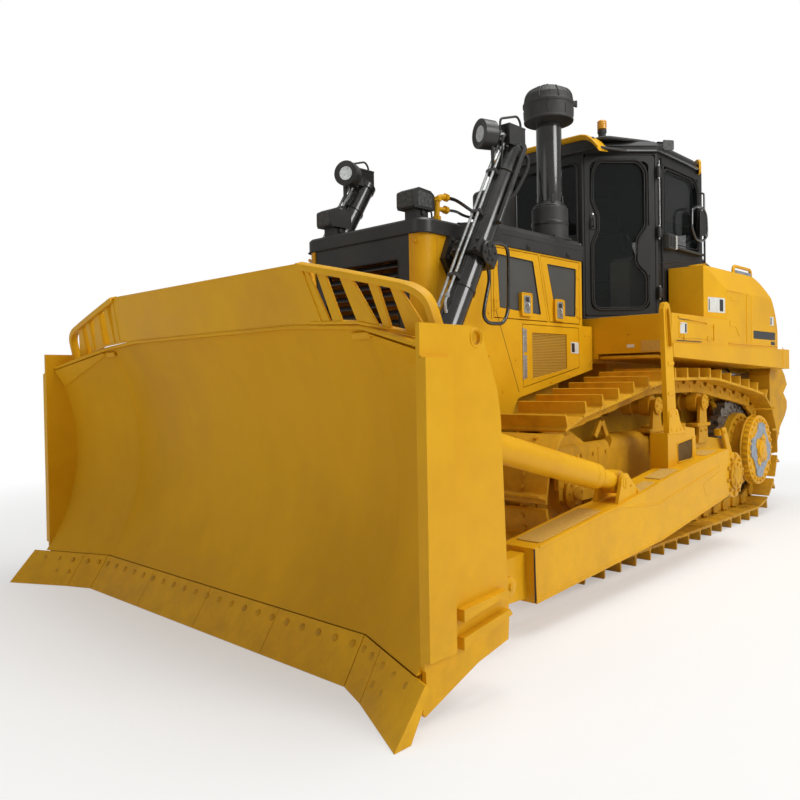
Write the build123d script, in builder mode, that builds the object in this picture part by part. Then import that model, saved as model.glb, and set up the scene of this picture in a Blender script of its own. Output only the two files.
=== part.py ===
"""Crawler bulldozer with a semi-U blade, built as separate named sub-parts.

Frame: millimetres, +Z up, the machine faces -Y and its left side is +X.  The origin is on the ground,
under the middle of the machine's bounding box.
"""
import math
import os

from build123d import *

os.makedirs("parts", exist_ok=True)

# ---------------------------------------------------------------- driving dimensions
TRACK_GAUGE = 2260
SHOE_WIDTH = 610
SHOE_PITCH = 260
SHOE_PLATE = 25
SHOE_TO_PIN = 85  # outer face of a shoe plate above the line of the track pins
GROUSER = 90  # height of the bar across a shoe
LINK_HALF = 60  # half the height of a track link
TRACK_X = TRACK_GAUGE / 2
SHOE_OUT = TRACK_X + SHOE_WIDTH / 2
PIN_Z = GROUSER + SHOE_TO_PIN  # height of the pin line along the ground

IDLER_Y, IDLER_R = -1120, 515  # radii are those of the pin line
SPROCKET_Y, SPROCKET_R = 2530, 565
CARRIER_YS, CARRIER_Z, CARRIER_R = (300, 1330), 1300, 165
IDLER_Z = PIN_Z + IDLER_R
SPROCKET_Z = PIN_Z + SPROCKET_R

ARM_IN, ARM_OUT = 1520, 1770  # push arm, inside and outside faces
TRUNNION_Y, TRUNNION_Z = 920, 650  # pivot of the push arms on the track frames
BLADE_PIN_Y, BLADE_PIN_Z = -2610, 353  # front ball of each push arm
STRUT_X, STRUT_REAR, STRUT_FRONT = 1645, (-1140, 800), (-2930, 1260)
STRUT_FRONT_X = 1585

BLADE_BEND_X = 1460  # where the straight middle of the blade meets a wing
BLADE_END_X = 2050
WING_SLOPE = 0.42  # forward run of a wing for each unit outwards
BLADE_HALF = 2150
MOULD_FOOT, MOULD_WAIST, MOULD_TOP = (-3470, 230), (-3200, 1030), (-3463, 1866)
MOULD_PLATE = 30
BLADE_BACK_Y = -3090
# top edge of the blade, x and z: level in the middle, falling towards the ends
BLADE_CREST = [(0, 1890), (920, 1890), (1460, 1858), (2050, 1722)]
CREST_PLATE = 24

LIFT_T = (880, -1762, 2480)  # trunnion of a lift cylinder
LIFT_EYE = (930, -2840, 700)  # its rod eye, on the back of the blade
BARREL_R, BORE_R, ROD_R = 95, 76, 55
BARREL_UP, BARREL_DOWN = 1080, 780  # barrel above and below its trunnion

GUARD_X, GUARD_FRONT, GUARD_BACK = 660, -2100, -1650
GUARD_TOP = 2645
HOOD_X, HOOD_TOP, HOOD_FASCIA = 650, 2850, 2660
HOOD_END = 170
PANEL = 40  # thickness of the engine side panels and doors
FLOOR_Z = 2130  # top of the platform that the cab stands on
BEAM_Z = 1860  # top of the fender beams
FENDER_Z = 1700
STEP_END = 1677  # rear end of the step boxes beside the cab

CAB_FRONT = (450, 520)  # plan corners of the cab, x and y
CAB_PILLAR = (980, 1075)
CAB_REAR_Y = 2170
CAB_Z0, CAB_Z1 = 2165, 3800
CAB_WALL = 60
GAP = 6  # running gap round doors


def side_plane(x, shift=0):
    """Vertical plane at x whose own x runs along +Y and own y along +Z."""
    return Plane(origin=(x, shift, 0), x_dir=(0, 1, 0), z_dir=(1, 0, 0))


def save(part, name):
    part.label = name
    export_step(part, f"parts/{name}.step")


def save_pair(part, name):
    """Write the left sub-part and its mirror image on the right."""
    save(part, f"{name}_left")
    save(mirror(part, about=Plane.YZ), f"{name}_right")


def plate(points, x0, x1, mode=Mode.ADD):
    """Flat plate with a side outline of (y, z) points, from x0 to x1."""
    with BuildSketch(side_plane(x0)) as outline:
        with BuildLine():
            Polyline(*points, close=True)
        make_face()
    extrude(outline.sketch, amount=x1 - x0, mode=mode)


def block(x0, x1, y0, y1, z0, z1, mode=Mode.ADD):
    """Straight block between two corners."""
    with Locations(((x0 + x1) / 2, (y0 + y1) / 2, (z0 + z1) / 2)):
        Box(abs(x1 - x0), abs(y1 - y0), abs(z1 - z0), mode=mode)


def wheel(y, z, profile):
    """Turned piece on an axle along X: profile of (x, radius) points."""
    with BuildSketch(Plane(origin=(0, y, z), x_dir=(1, 0, 0), z_dir=(0, -1, 0))) as half:
        with BuildLine():
            Polyline(*profile, close=True)
        make_face()
    revolve(half.sketch, axis=Axis((0, y, z), (1, 0, 0)))


# ---------------------------------------------------------------- tracks
# pulleys that the pin line runs over, front to back along the top: y, z, radius
PULLEYS = [(IDLER_Y, IDLER_Z, IDLER_R)]
PULLEYS += [(y, CARRIER_Z, CARRIER_R) for y in CARRIER_YS]
PULLEYS += [(SPROCKET_Y, SPROCKET_Z, SPROCKET_R)]


def belt_runs():
    """Straight runs and arcs of the pin line, clockwise from the idler's underside."""
    normals = []
    count = len(PULLEYS)
    for i, (y0, z0, r0) in enumerate(PULLEYS):
        y1, z1, r1 = PULLEYS[(i + 1) % count]
        span = math.hypot(y1 - y0, z1 - z0)
        heading = math.atan2(z1 - z0, y1 - y0)
        normals.append(heading + math.acos((r0 - r1) / span))
    runs = []
    for i, (y0, z0, r0) in enumerate(PULLEYS):
        turn = (normals[i - 1] - normals[i]) % (2 * math.pi)
        runs.append(("arc", y0, z0, r0, normals[i - 1], turn))
        y1, z1, r1 = PULLEYS[(i + 1) % count]
        a = (y0 + r0 * math.cos(normals[i]), z0 + r0 * math.sin(normals[i]))
        b = (y1 + r1 * math.cos(normals[i]), z1 + r1 * math.sin(normals[i]))
        runs.append(("line", a, b))
    return runs


def belt_pins():
    """Pins spaced evenly round the belt."""
    runs = belt_runs()
    lengths = [r[3] * r[5] if r[0] == "arc" else math.dist(r[1], r[2]) for r in runs]
    total = sum(lengths)
    count = round(total / SHOE_PITCH)
    pins = []
    for k in range(count):
        s = total * k / count
        i = 0
        while s > lengths[i]:
            s -= lengths[i]
            i += 1
        run = runs[i]
        if run[0] == "arc":
            angle = run[4] - s / run[3]
            pins.append((run[1] + run[3] * math.cos(angle), run[2] + run[3] * math.sin(angle)))
        else:
            t = s / lengths[i]
            pins.append(tuple(a + (b - a) * t for a, b in zip(run[1], run[2])))
    return pins


PINS = belt_pins()

# outline of one shoe: share of the pitch along it, height over the pin line
SHOE_PROFILE = [
    (0.03, SHOE_TO_PIN - SHOE_PLATE),
    (0.03, SHOE_TO_PIN),
    (0.10, SHOE_TO_PIN),
    (0.13, SHOE_TO_PIN + GROUSER),
    (0.20, SHOE_TO_PIN + GROUSER),
    (0.25, SHOE_TO_PIN),
    (0.97, SHOE_TO_PIN),
    (0.97, SHOE_TO_PIN - SHOE_PLATE),
]


def shoe_outline():
    points = []
    for (y0, z0), (y1, z1) in zip(PINS, PINS[1:] + PINS[:1]):
        length = math.dist((y0, z0), (y1, z1))
        along = ((y1 - y0) / length, (z1 - z0) / length)
        out = (-along[1], along[0])
        for share, height in SHOE_PROFILE:
            d = share * length
            points.append((y0 + along[0] * d + out[0] * height, z0 + along[1] * d + out[1] * height))
    return points


def ring_outline(height):
    """Pin line moved outwards by a height, one corner for each pin."""
    points = []
    count = len(PINS)
    for i in range(count):
        (ya, za), (yb, zb), (yc, zc) = PINS[i - 1], PINS[i], PINS[(i + 1) % count]
        along = math.atan2(zc - za, yc - ya)
        points.append((yb - math.sin(along) * height, zb + math.cos(along) * height))
    return points


for side, sign in (("left", 1), ("right", -1)):
    with BuildPart() as track:
        with BuildSketch(side_plane(sign * TRACK_X)):
            with BuildLine():
                Polyline(*shoe_outline(), close=True)
            make_face()
            with BuildLine():
                Polyline(*ring_outline(SHOE_TO_PIN - SHOE_PLATE - 8), close=True)
            make_face(mode=Mode.SUBTRACT)
        extrude(amount=SHOE_WIDTH / 2, both=True)
        for rail in (-98, 98):
            with BuildSketch(side_plane(sign * TRACK_X + rail)):
                with BuildLine():
                    Polyline(*ring_outline(SHOE_TO_PIN - SHOE_PLATE - 4), close=True)
                make_face()
                with BuildLine():
                    Polyline(*ring_outline(-LINK_HALF), close=True)
                make_face(mode=Mode.SUBTRACT)
            extrude(amount=32, both=True)
    save(track.part, f"track_{side}")

# ---------------------------------------------------------------- running gear
RAIL_TREAD = LINK_HALF + 2  # wheels run this far inside the pin line

with BuildPart() as idlers:
    tread = IDLER_R - RAIL_TREAD - 20
    rim = [(-128, tread), (-62, tread), (-50, tread + 45), (50, tread + 45), (62, tread), (128, tread)]
    disc = [(128, tread - 70), (60, tread - 90), (60, 170), (125, 150), (125, 0)]
    wheel(IDLER_Y, IDLER_Z, [(TRACK_X + x, r) for x, r in [(-125, 0), (-125, 150), (-60, 170),
                             (-60, tread - 90), (-128, tread - 70)] + rim + disc])
    mirror(about=Plane.YZ)
save(idlers.part, "idlers")

ROLLER_YS = [-540 + 338 * i for i in range(8)]
ROLLER_R = 128
ROLLER_Z = PIN_Z + RAIL_TREAD + ROLLER_R
ROLLER_PROFILE = [(-150, 0), (-150, 100), (-138, 155), (-132, ROLLER_R), (-50, ROLLER_R), (-40, 95),
                  (40, 95), (50, ROLLER_R), (132, ROLLER_R), (138, 155), (150, 100), (150, 0)]
CARRIER_PROFILE = [(-140, 0), (-140, 90), (-40, 90), (-30, 75), (30, 75), (40, 90), (140, 90), (140, 60),
                   (152, 60), (152, 0)]

with BuildPart() as track_rollers:
    for y in ROLLER_YS:
        wheel(y, ROLLER_Z, [(TRACK_X + x, r) for x, r in ROLLER_PROFILE])
    for y in CARRIER_YS:
        wheel(y, CARRIER_Z, [(TRACK_X + x, r) for x, r in CARRIER_PROFILE])
    mirror(about=Plane.YZ)
save(track_rollers.part, "track_rollers")

FRAME_IN, FRAME_OUT = 975, 1285  # side faces of a track frame
SHAFT_R = 90
with BuildPart() as track_frames:
    # recoil housing and roller frame
    with BuildSketch(side_plane(FRAME_IN)):
        with BuildLine():
            Polyline((-560, 560), (-620, 700), (-560, 960), (-380, 1080), (900, 1080), (1150, 980),
                     (1870, 900), (1915, 800), (1870, 560), close=True)
        make_face()
    extrude(amount=FRAME_OUT - FRAME_IN)
    top = track_frames.edges().filter_by(Axis.Y).group_by(Axis.Z)[-1]
    fillet(top, radius=110)
    # roller guards, one each side of the rollers
    for x0, x1 in ((FRAME_IN - 26, FRAME_IN + 4), (FRAME_OUT - 4, FRAME_OUT + 26)):
        block(x0, x1, -640, 1990, 330, 580)
    # idler yoke
    for x0, x1 in ((FRAME_IN, FRAME_IN + 22), (FRAME_OUT - 22, FRAME_OUT)):
        plate([(-540, 600), (-540, 860), (-960, 800), (-1230, 770), (-1260, 690), (-1230, 610)], x0, x1)
    # cheek that carries the recoil housing forwards, outside the idler
    with BuildSketch(Plane(origin=(0, -540, 0), x_dir=(1, 0, 0), z_dir=(0, -1, 0))):
        with BuildLine():
            Polyline((FRAME_OUT - 22, 640), (FRAME_OUT, 640), (FRAME_OUT, 985), (FRAME_OUT - 8, 1015),
                     (FRAME_OUT - 22, 1038), close=True)
        make_face()
    extrude(amount=760)
    # carrier roller stands
    for y in CARRIER_YS:
        plate([(y - 120, 900), (y - 60, CARRIER_Z + 55), (y + 60, CARRIER_Z + 55), (y + 120, 900)],
              FRAME_OUT, FRAME_OUT + 28)
    # trunnion shafts of the push arms
    with BuildSketch(side_plane(FRAME_OUT - 10)):
        with Locations((TRUNNION_Y, TRUNNION_Z)):
            Circle(SHAFT_R + 50)
    extrude(amount=150)
    with BuildSketch(side_plane(FRAME_OUT)):
        with Locations((TRUNNION_Y, TRUNNION_Z)):
            Circle(SHAFT_R)
    extrude(amount=ARM_OUT - FRAME_OUT - 20)
    mirror(about=Plane.YZ)
save(track_frames.part, "track_frames")

TEETH = 27
with BuildPart() as sprockets:
    tooth_points = []
    for i in range(TEETH):
        for share, radius in ((0.0, 545), (0.3, 545), (0.45, 588), (0.85, 588)):
            angle = 2 * math.pi * (i + share) / TEETH
            tooth_points.append((SPROCKET_Y + radius * math.cos(angle),
                                 SPROCKET_Z + radius * math.sin(angle)))
    with BuildSketch(side_plane(TRACK_X - 45)):
        with BuildLine():
            Polyline(*tooth_points, close=True)
        make_face()
        with Locations((SPROCKET_Y, SPROCKET_Z)):
            Circle(402, mode=Mode.SUBTRACT)
    extrude(amount=90)
    mirror(about=Plane.YZ)
save(sprockets.part, "sprockets")

CASE_X = 760
with BuildPart() as final_drives:
    wheel(SPROCKET_Y, SPROCKET_Z, [(CASE_X, 0), (CASE_X, 330), (960, 400), (TRACK_X + 90, 401),
                                   (1240, 401), (1255, 300), (1350, 300), (1360, 372), (1440, 372),
                                   (1442, 250), (1462, 238), (1468, 120), (1468, 0)])
    mirror(about=Plane.YZ)
save(final_drives.part, "final_drives")

# ---------------------------------------------------------------- hull
HULL_TOP = 1180
with BuildPart() as main_frame:
    # main case, with a sloped nose and belly
    plate([(-2080, 900), (-2080, HULL_TOP), (2150, HULL_TOP), (2150, 480), (-1500, 480), (-1900, 620)],
          -600, 600)
    # rear case with the drawbar bracket
    plate([(2080, 480), (2080, 1500), (3200, 1500), (3330, 1350), (3330, 560), (3180, 440), (2200, 440)],
          -CASE_X, CASE_X)
    block(-620, 620, 2150, 3150, 1480, FENDER_Z)
    # equalizer bar and pivot shaft that carry the track frames
    plate([(-560, 640), (-560, 790), (-380, 790), (-380, 640)], -FRAME_IN, FRAME_IN)
    with BuildSketch(side_plane(-FRAME_IN)):
        with Locations((1650, 700)):
            Circle(110)
    extrude(amount=2 * FRAME_IN)
    # cab platform supports
    block(-600, 600, 700, 2150, 1150, FENDER_Z)
save(main_frame.part, "main_frame")

with BuildPart() as engine:
    block(-380, 380, -1450, 150, HULL_TOP, 2350)
save(engine.part, "engine")

TOW_Y, TOW_Z, TOW_R = 3740, 640, 40
with BuildPart() as rear_counterweight:
    with BuildSketch(side_plane(-1300)):
        with BuildLine():
            Polyline((3330, 620), (3330, 1560), (3400, 1698), (3700, 1698), (3880, 1560), (3970, 1440),
                     (3830, 1336), (3960, 1230), (3960, 1150), (3888, 1060), (3695, 921), (3560, 700),
                     (3480, 620), close=True)
        make_face()
    extrude(amount=2600)
    # recess round the tow pin, with its two cheeks left standing
    block(-180, 180, 3560, 4000, 560, 960, mode=Mode.SUBTRACT)
    for s in (-1, 1):
        block(s * 760, s * 1310, 3320, 3420, 600, 1060, mode=Mode.SUBTRACT)
    # drawbar plate with the bore of the tow pin
    with BuildSketch(Plane.XY.offset(TOW_Z)):
        with Locations((0, 3600)):
            RectangleRounded(300, 480, 60)
        with Locations((0, TOW_Y)):
            Circle(TOW_R, mode=Mode.SUBTRACT)
    extrude(amount=90)
save(rear_counterweight.part, "rear_counterweight")

# ---------------------------------------------------------------- nose and hood
with BuildPart() as radiator_guard:
    with BuildSketch(Plane.XY.offset(HULL_TOP)):
        with BuildLine():
            Polyline((-GUARD_X, GUARD_FRONT), (GUARD_X, GUARD_FRONT), (GUARD_X, GUARD_BACK),
                     (-GUARD_X, GUARD_BACK), close=True)
        make_face()
    extrude(amount=GUARD_TOP - HULL_TOP)
    fillet(radiator_guard.edges().filter_by(Axis.Z).group_by(Axis.Y)[0], radius=125)
    # grille opening through the front, and the hollow behind it
    block(-535, 535, GUARD_FRONT - 10, GUARD_FRONT + 100, 1250, GUARD_TOP + 10, mode=Mode.SUBTRACT)
    block(-600, 600, GUARD_FRONT + 98, GUARD_BACK + 10, 1200, GUARD_TOP - 30, mode=Mode.SUBTRACT)
save(radiator_guard.part, "radiator_guard")

GRILLE_Y = GUARD_FRONT + 12
with BuildPart() as grille:
    with BuildSketch(Plane(origin=(0, GRILLE_Y, 0), x_dir=(1, 0, 0), z_dir=(0, -1, 0))):
        with Locations((0, (1252 + GUARD_TOP - 3) / 2)):
            Rectangle(1066, GUARD_TOP - 3 - 1252)
        with Locations((0, (1320 + 2470) / 2)):
            Rectangle(820, 1150, mode=Mode.SUBTRACT)
    extrude(amount=-60)
    slat_pitch = 72
    for i in range(16):
        z = 1335 + slat_pitch * i
        plate([(GRILLE_Y + 6, z), (GRILLE_Y + 6, z + 10), (GRILLE_Y + 56, z + 46), (GRILLE_Y + 56, z + 34)],
              -420, 420)
save(grille.part, "grille")

with BuildPart() as guard_cap:
    with BuildSketch(Plane.XY.offset(GUARD_TOP)):
        with Locations((0, (GUARD_FRONT + GUARD_BACK) / 2)):
            Rectangle(2 * GUARD_X + 30, GUARD_BACK - GUARD_FRONT)
    extrude(amount=110)
    fillet(guard_cap.edges().filter_by(Axis.Z).group_by(Axis.Y)[0], radius=110)
    chamfer(guard_cap.edges().group_by(Axis.Z)[-1], length=18)
save(guard_cap.part, "guard_cap")

with BuildPart() as hood:
    hood_section = [(-HOOD_X, HOOD_FASCIA), (-HOOD_X, HOOD_TOP - 50), (-HOOD_X + 50, HOOD_TOP),
                    (HOOD_X - 50, HOOD_TOP), (HOOD_X, HOOD_TOP - 50), (HOOD_X, HOOD_FASCIA),
                    (HOOD_X - 40, HOOD_FASCIA), (HOOD_X - 40, HOOD_TOP - 60), (HOOD_X - 70, HOOD_TOP - 40),
                    (-HOOD_X + 70, HOOD_TOP - 40), (-HOOD_X + 40, HOOD_TOP - 60), (-HOOD_X + 40, HOOD_FASCIA)]
    with BuildSketch(Plane(origin=(0, HOOD_END, 0), x_dir=(1, 0, 0), z_dir=(0, -1, 0))):
        with BuildLine():
            Polyline(*hood_section, close=True)
        make_face()
    extrude(amount=HOOD_END - GUARD_BACK - 20)
    # the front of the hood drops a little towards the guard cap
    with BuildSketch(side_plane(-HOOD_X - 10)):
        with BuildLine():
            Polyline((GUARD_BACK - 10, 2765), (-1180, HOOD_TOP), (-1180, HOOD_TOP + 20),
                     (GUARD_BACK - 10, HOOD_TOP + 20), close=True)
        make_face()
    extrude(amount=2 * HOOD_X + 20, mode=Mode.SUBTRACT)
save(hood.part, "hood")

# engine bay openings as (y, z) corners from the lower front one; the upper two meet along a slanted
# mullion and the lower one follows the rise of the track
UPPER_FRONT = [(-1230, 2060), (-1230, 2640), (-575, 2640), (-432, 2060)]
UPPER_REAR = [(-405, 2060), (-548, 2640), (105, 2640), (105, 2060)]
LOWER_DOOR = [(-830, 1484), (-830, 2030), (90, 2030), (90, 1655)]
with BuildPart() as engine_sides:
    plate([(GUARD_BACK, HULL_TOP), (GUARD_BACK, HOOD_FASCIA), (150, HOOD_FASCIA), (150, 2050), (330, 2050),
           (330, 1640), (-900, 1400), (-1050, HULL_TOP)], HOOD_X - PANEL, HOOD_X)
    for opening in (UPPER_FRONT, UPPER_REAR, LOWER_DOOR):
        plate(opening, HOOD_X - PANEL - 5, HOOD_X + 5, mode=Mode.SUBTRACT)
    mirror(about=Plane.YZ)
save(engine_sides.part, "engine_sides")


def bay_door(opening, window, depth=12):
    """Door that fills one opening of the engine bay, with a sunk mesh window."""
    (ya, za), (yb, zb), (yc, zc), (yd, zd) = opening
    plate([(ya + GAP, za + GAP + 2), (yb + GAP, zb - GAP), (yc - GAP, zc - GAP), (yd - GAP, zd + GAP + 2)],
          HOOD_X - PANEL, HOOD_X)
    plate(window, HOOD_X - depth, HOOD_X + 8, mode=Mode.SUBTRACT)


with BuildPart() as engine_door_front:
    bay_door(UPPER_FRONT, [(-1145, 2150), (-1175, 2585), (-655, 2575), (-542, 2120)])
    block(HOOD_X - PANEL, HOOD_X + 24, -865, -710, 2098, 2290)
save_pair(engine_door_front.part, "engine_door_front")

with BuildPart() as engine_door_rear:
    bay_door(UPPER_REAR, [(-300, 2130), (-436, 2575), (50, 2575), (30, 2130)])
    block(HOOD_X - PANEL, HOOD_X + 24, -345, -195, 2080, 2265)
save_pair(engine_door_rear.part, "engine_door_rear")

with BuildPart() as engine_door_lower:
    bay_door(LOWER_DOOR, [(-690, 1555), (-690, 1965), (-120, 1965), (-120, 1640)])
save_pair(engine_door_lower.part, "engine_door_lower")

# ---------------------------------------------------------------- platform, tank and trim
BEAM_OUT = SHOE_OUT + 15


def beam_foot(y):
    """Height of the underside of the fender beams, which fall towards the rear."""
    return 1737 - (y - 350) * 0.0335


with BuildPart() as platform:
    # step boxes, with the floor of the cab between and behind them
    block(-SHOE_OUT, SHOE_OUT, 350, STEP_END, FENDER_Z + 60, FLOOR_Z)
    block(-625, 625, 350, 2350, FENDER_Z, FLOOR_Z)
    block(-1000, 1000, STEP_END - 10, 2350, FENDER_Z + 20, FLOOR_Z)
    for s in (-1, 1):
        plate([(350, beam_foot(350)), (350, BEAM_Z), (3330, BEAM_Z), (3330, beam_foot(3330))],
              s * 625, s * BEAM_OUT)
        plate([(3320, beam_foot(3320)), (3320, BEAM_Z), (3570, BEAM_Z), (3570, beam_foot(3570))],
              s * 1305, s * BEAM_OUT)
    block(-BEAM_OUT, BEAM_OUT, 3320, 3570, FENDER_Z, BEAM_Z)
    block(-640, 640, 2340, 3330, FENDER_Z, BEAM_Z)
    # recess under the front of each step
    for s in (-1, 1):
        block(s * 700, s * 1340, 340, 540, FENDER_Z - 10, 1785, mode=Mode.SUBTRACT)
save(platform.part, "platform")

TANK_FRONT, TANK_BACK, TANK_TOP, TANK_SIDE = 1256, 3220, 2655, 1430
TANK_CORNER = (1358, STEP_END)  # where the cut front corner starts on the front and ends on the side
TANK_CUT_Z = 2433  # where the cut along the top edge ends on the side
with BuildPart() as fuel_tank:
    with BuildSketch(side_plane(-TANK_SIDE)):
        with BuildLine():
            Polyline((2300, TANK_TOP), (TANK_FRONT, TANK_TOP), (TANK_FRONT, FLOOR_Z + 2),
                     (STEP_END + 3, FLOOR_Z + 2), (STEP_END + 3, BEAM_Z), (TANK_BACK, BEAM_Z),
                     (TANK_BACK, 2060))
            ThreePointArc((TANK_BACK, 2060), (2950, 2490), (2300, TANK_TOP))
        make_face()
    extrude(amount=2 * TANK_SIDE)
    # cut top edges
    with BuildSketch(Plane(origin=(0, TANK_FRONT - 10, 0), x_dir=(1, 0, 0), z_dir=(0, -1, 0))):
        with BuildLine():
            Polyline((-TANK_SIDE, BEAM_Z - 10), (-TANK_SIDE, TANK_CUT_Z), (-TANK_CORNER[0], TANK_TOP + 1),
                     (TANK_CORNER[0], TANK_TOP + 1), (TANK_SIDE, TANK_CUT_Z), (TANK_SIDE, BEAM_Z - 10),
                     close=True)
        make_face()
    extrude(amount=-2100, mode=Mode.INTERSECT)
    # bay that the back of the cab stands in
    block(-1003, 1003, TANK_FRONT - 20, 2353, BEAM_Z - 20, TANK_TOP + 20, mode=Mode.SUBTRACT)
    # cut front corners
    for s in (-1, 1):
        with BuildSketch(Plane.XY.offset(BEAM_Z - 10)):
            with BuildLine():
                Polyline((s * TANK_SIDE, TANK_CORNER[1]), (s * (TANK_SIDE + 5), TANK_CORNER[1]),
                         (s * (TANK_SIDE + 5), TANK_FRONT - 5), (s * TANK_CORNER[0], TANK_FRONT - 5),
                         (s * TANK_CORNER[0], TANK_FRONT), close=True)
            make_face()
        extrude(amount=1000, mode=Mode.SUBTRACT)
save(fuel_tank.part, "fuel_tank")

# ---------------------------------------------------------------- cab
CAB_PLAN = [(-CAB_FRONT[0], CAB_FRONT[1]), (CAB_FRONT[0], CAB_FRONT[1]), (CAB_PILLAR[0], CAB_PILLAR[1]),
            (CAB_PILLAR[0], CAB_REAR_Y), (-CAB_PILLAR[0], CAB_REAR_Y), (-CAB_PILLAR[0], CAB_PILLAR[1])]
DOOR_RUN = math.dist(CAB_FRONT, CAB_PILLAR)
DOOR_DIR = ((CAB_PILLAR[0] - CAB_FRONT[0]) / DOOR_RUN, (CAB_PILLAR[1] - CAB_FRONT[1]) / DOOR_RUN)
# plane of the left door's outside: own x from the front post to the rear post, own y up
DOOR_PLANE = Plane(origin=(CAB_FRONT[0], CAB_FRONT[1], 0), x_dir=(DOOR_DIR[0], DOOR_DIR[1], 0),
                   z_dir=(DOOR_DIR[1], -DOOR_DIR[0], 0))
DOOR_X0, DOOR_X1, DOOR_Z0, DOOR_Z1 = 20, DOOR_RUN - 25, 2175, 3775
DOOR_THICK = 45
# glass of the door: its own x, and z
PANE_X0, PANE_X1, PANE_Z0, PANE_Z1 = DOOR_X0 + GAP + 55, DOOR_X1 - GAP - 60, 2240, 3710

with BuildPart() as cab_base:
    with BuildSketch(Plane.XY.offset(FLOOR_Z)):
        with BuildLine():
            Polyline(*CAB_PLAN, close=True)
        make_face()
    extrude(amount=CAB_Z0 - FLOOR_Z)
    block(-CAB_PILLAR[0], CAB_PILLAR[0], CAB_REAR_Y, 2346, FLOOR_Z, 2690)
    # cowl between the hood and the cab
    block(-440, 440, HOOD_END + 6, CAB_FRONT[1] + 60, FLOOR_Z, CAB_Z0)
    block(-440, 440, HOOD_END + 6, CAB_FRONT[1] - 6, FLOOR_Z, HOOD_TOP - 10)
    block(-440, 440, HOOD_END + 6, 344, 1900, FLOOR_Z + 5)
    with BuildSketch(side_plane(-CAB_PILLAR[0])):
        with BuildLine():
            Polyline((CAB_REAR_Y, 2690), (CAB_REAR_Y, 2860), (2340, 2780), (2346, 2690), close=True)
        make_face()
    extrude(amount=2 * CAB_PILLAR[0])
save(cab_base.part, "cab_base")

with BuildPart() as cab_body:
    with BuildSketch(Plane.XY.offset(CAB_Z0)):
        with BuildLine():
            Polyline(*CAB_PLAN, close=True)
        make_face()
        offset(amount=-CAB_WALL, kind=Kind.INTERSECTION, mode=Mode.SUBTRACT)
    extrude(amount=CAB_Z1 - CAB_Z0)
    # windscreen, rear window and the two rear side windows
    block(-CAB_FRONT[0] + 60, CAB_FRONT[0] - 60, CAB_FRONT[1] - 10, CAB_FRONT[1] + 80, 2300, 3700,
          mode=Mode.SUBTRACT)
    block(-820, 820, CAB_REAR_Y - 80, CAB_REAR_Y + 10, 2920, 3700, mode=Mode.SUBTRACT)
    block(-CAB_PILLAR[0] - 10, CAB_PILLAR[0] + 10, CAB_PILLAR[1] + 110, CAB_REAR_Y - 110, 2900, 3700,
          mode=Mode.SUBTRACT)
    # door openings
    with BuildPart(mode=Mode.PRIVATE) as door_way:
        with BuildSketch(DOOR_PLANE.offset(30)):
            with Locations(((DOOR_X0 + DOOR_X1) / 2, (DOOR_Z0 + DOOR_Z1) / 2)):
                Rectangle(DOOR_X1 - DOOR_X0, DOOR_Z1 - DOOR_Z0)
        extrude(amount=-30 - CAB_WALL - 60)
        mirror(about=Plane.YZ)
    add(door_way.part, mode=Mode.SUBTRACT)
save(cab_body.part, "cab_body")

ROOF_OVER, ROOF_THICK = 15, 120
ROOF_PLAN = CAB_PLAN[:3] + [(CAB_PILLAR[0], 2050), (850, CAB_REAR_Y), (-850, CAB_REAR_Y),
                            (-CAB_PILLAR[0], 2050), CAB_PLAN[5]]
with BuildPart() as cab_roof:
    with BuildSketch(Plane.XY.offset(CAB_Z1)):
        with BuildLine():
            Polyline(*ROOF_PLAN, close=True)
        make_face()
        offset(amount=ROOF_OVER, kind=Kind.INTERSECTION)
    extrude(amount=ROOF_THICK)
    chamfer(cab_roof.edges().group_by(Axis.Z)[-1], length=55)
    block(-700, 700, 1500, 2150, CAB_Z1 + ROOF_THICK - 10, CAB_Z1 + ROOF_THICK + 30)
save(cab_roof.part, "cab_roof")

with BuildPart() as cab_glass:
    block(-CAB_FRONT[0] + 60, CAB_FRONT[0] - 60, CAB_FRONT[1] + 20, CAB_FRONT[1] + 28, 2300, 3700)
    block(-820, 820, CAB_REAR_Y - 34, CAB_REAR_Y - 26, 2920, 3700)
    for s in (-1, 1):
        block(s * (CAB_PILLAR[0] - 34), s * (CAB_PILLAR[0] - 26), CAB_PILLAR[1] + 110, CAB_REAR_Y - 110,
              2900, 3700)
save(cab_glass.part, "cab_glass")

with BuildPart() as cab_door:
    with BuildSketch(DOOR_PLANE):
        with Locations(((DOOR_X0 + DOOR_X1) / 2, (DOOR_Z0 + DOOR_Z1) / 2)):
            RectangleRounded(DOOR_X1 - DOOR_X0 - 2 * GAP, DOOR_Z1 - DOOR_Z0 - 2 * GAP, 30)
        with Locations(((PANE_X0 + PANE_X1) / 2, (PANE_Z0 + PANE_Z1) / 2)):
            RectangleRounded(PANE_X1 - PANE_X0, PANE_Z1 - PANE_Z0, 60, mode=Mode.SUBTRACT)
    extrude(amount=-DOOR_THICK)
save_pair(cab_door.part, "cab_door")

with BuildPart() as door_glass:
    with BuildSketch(DOOR_PLANE.offset(-20)):
        with Locations(((PANE_X0 + PANE_X1) / 2, (PANE_Z0 + PANE_Z1) / 2)):
            RectangleRounded(PANE_X1 - PANE_X0, PANE_Z1 - PANE_Z0, 60)
    extrude(amount=-8)
save_pair(door_glass.part, "door_glass")

with BuildPart() as operator_seat:
    block(-260, 260, 1350, 1850, CAB_Z0, CAB_Z0 + 330)
    plate([(1330, CAB_Z0 + 330), (1330, CAB_Z0 + 440), (1800, CAB_Z0 + 470), (1870, CAB_Z0 + 1080),
           (1960, CAB_Z0 + 1080), (1900, CAB_Z0 + 330)], -270, 270)
save(operator_seat.part, "operator_seat")

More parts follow.
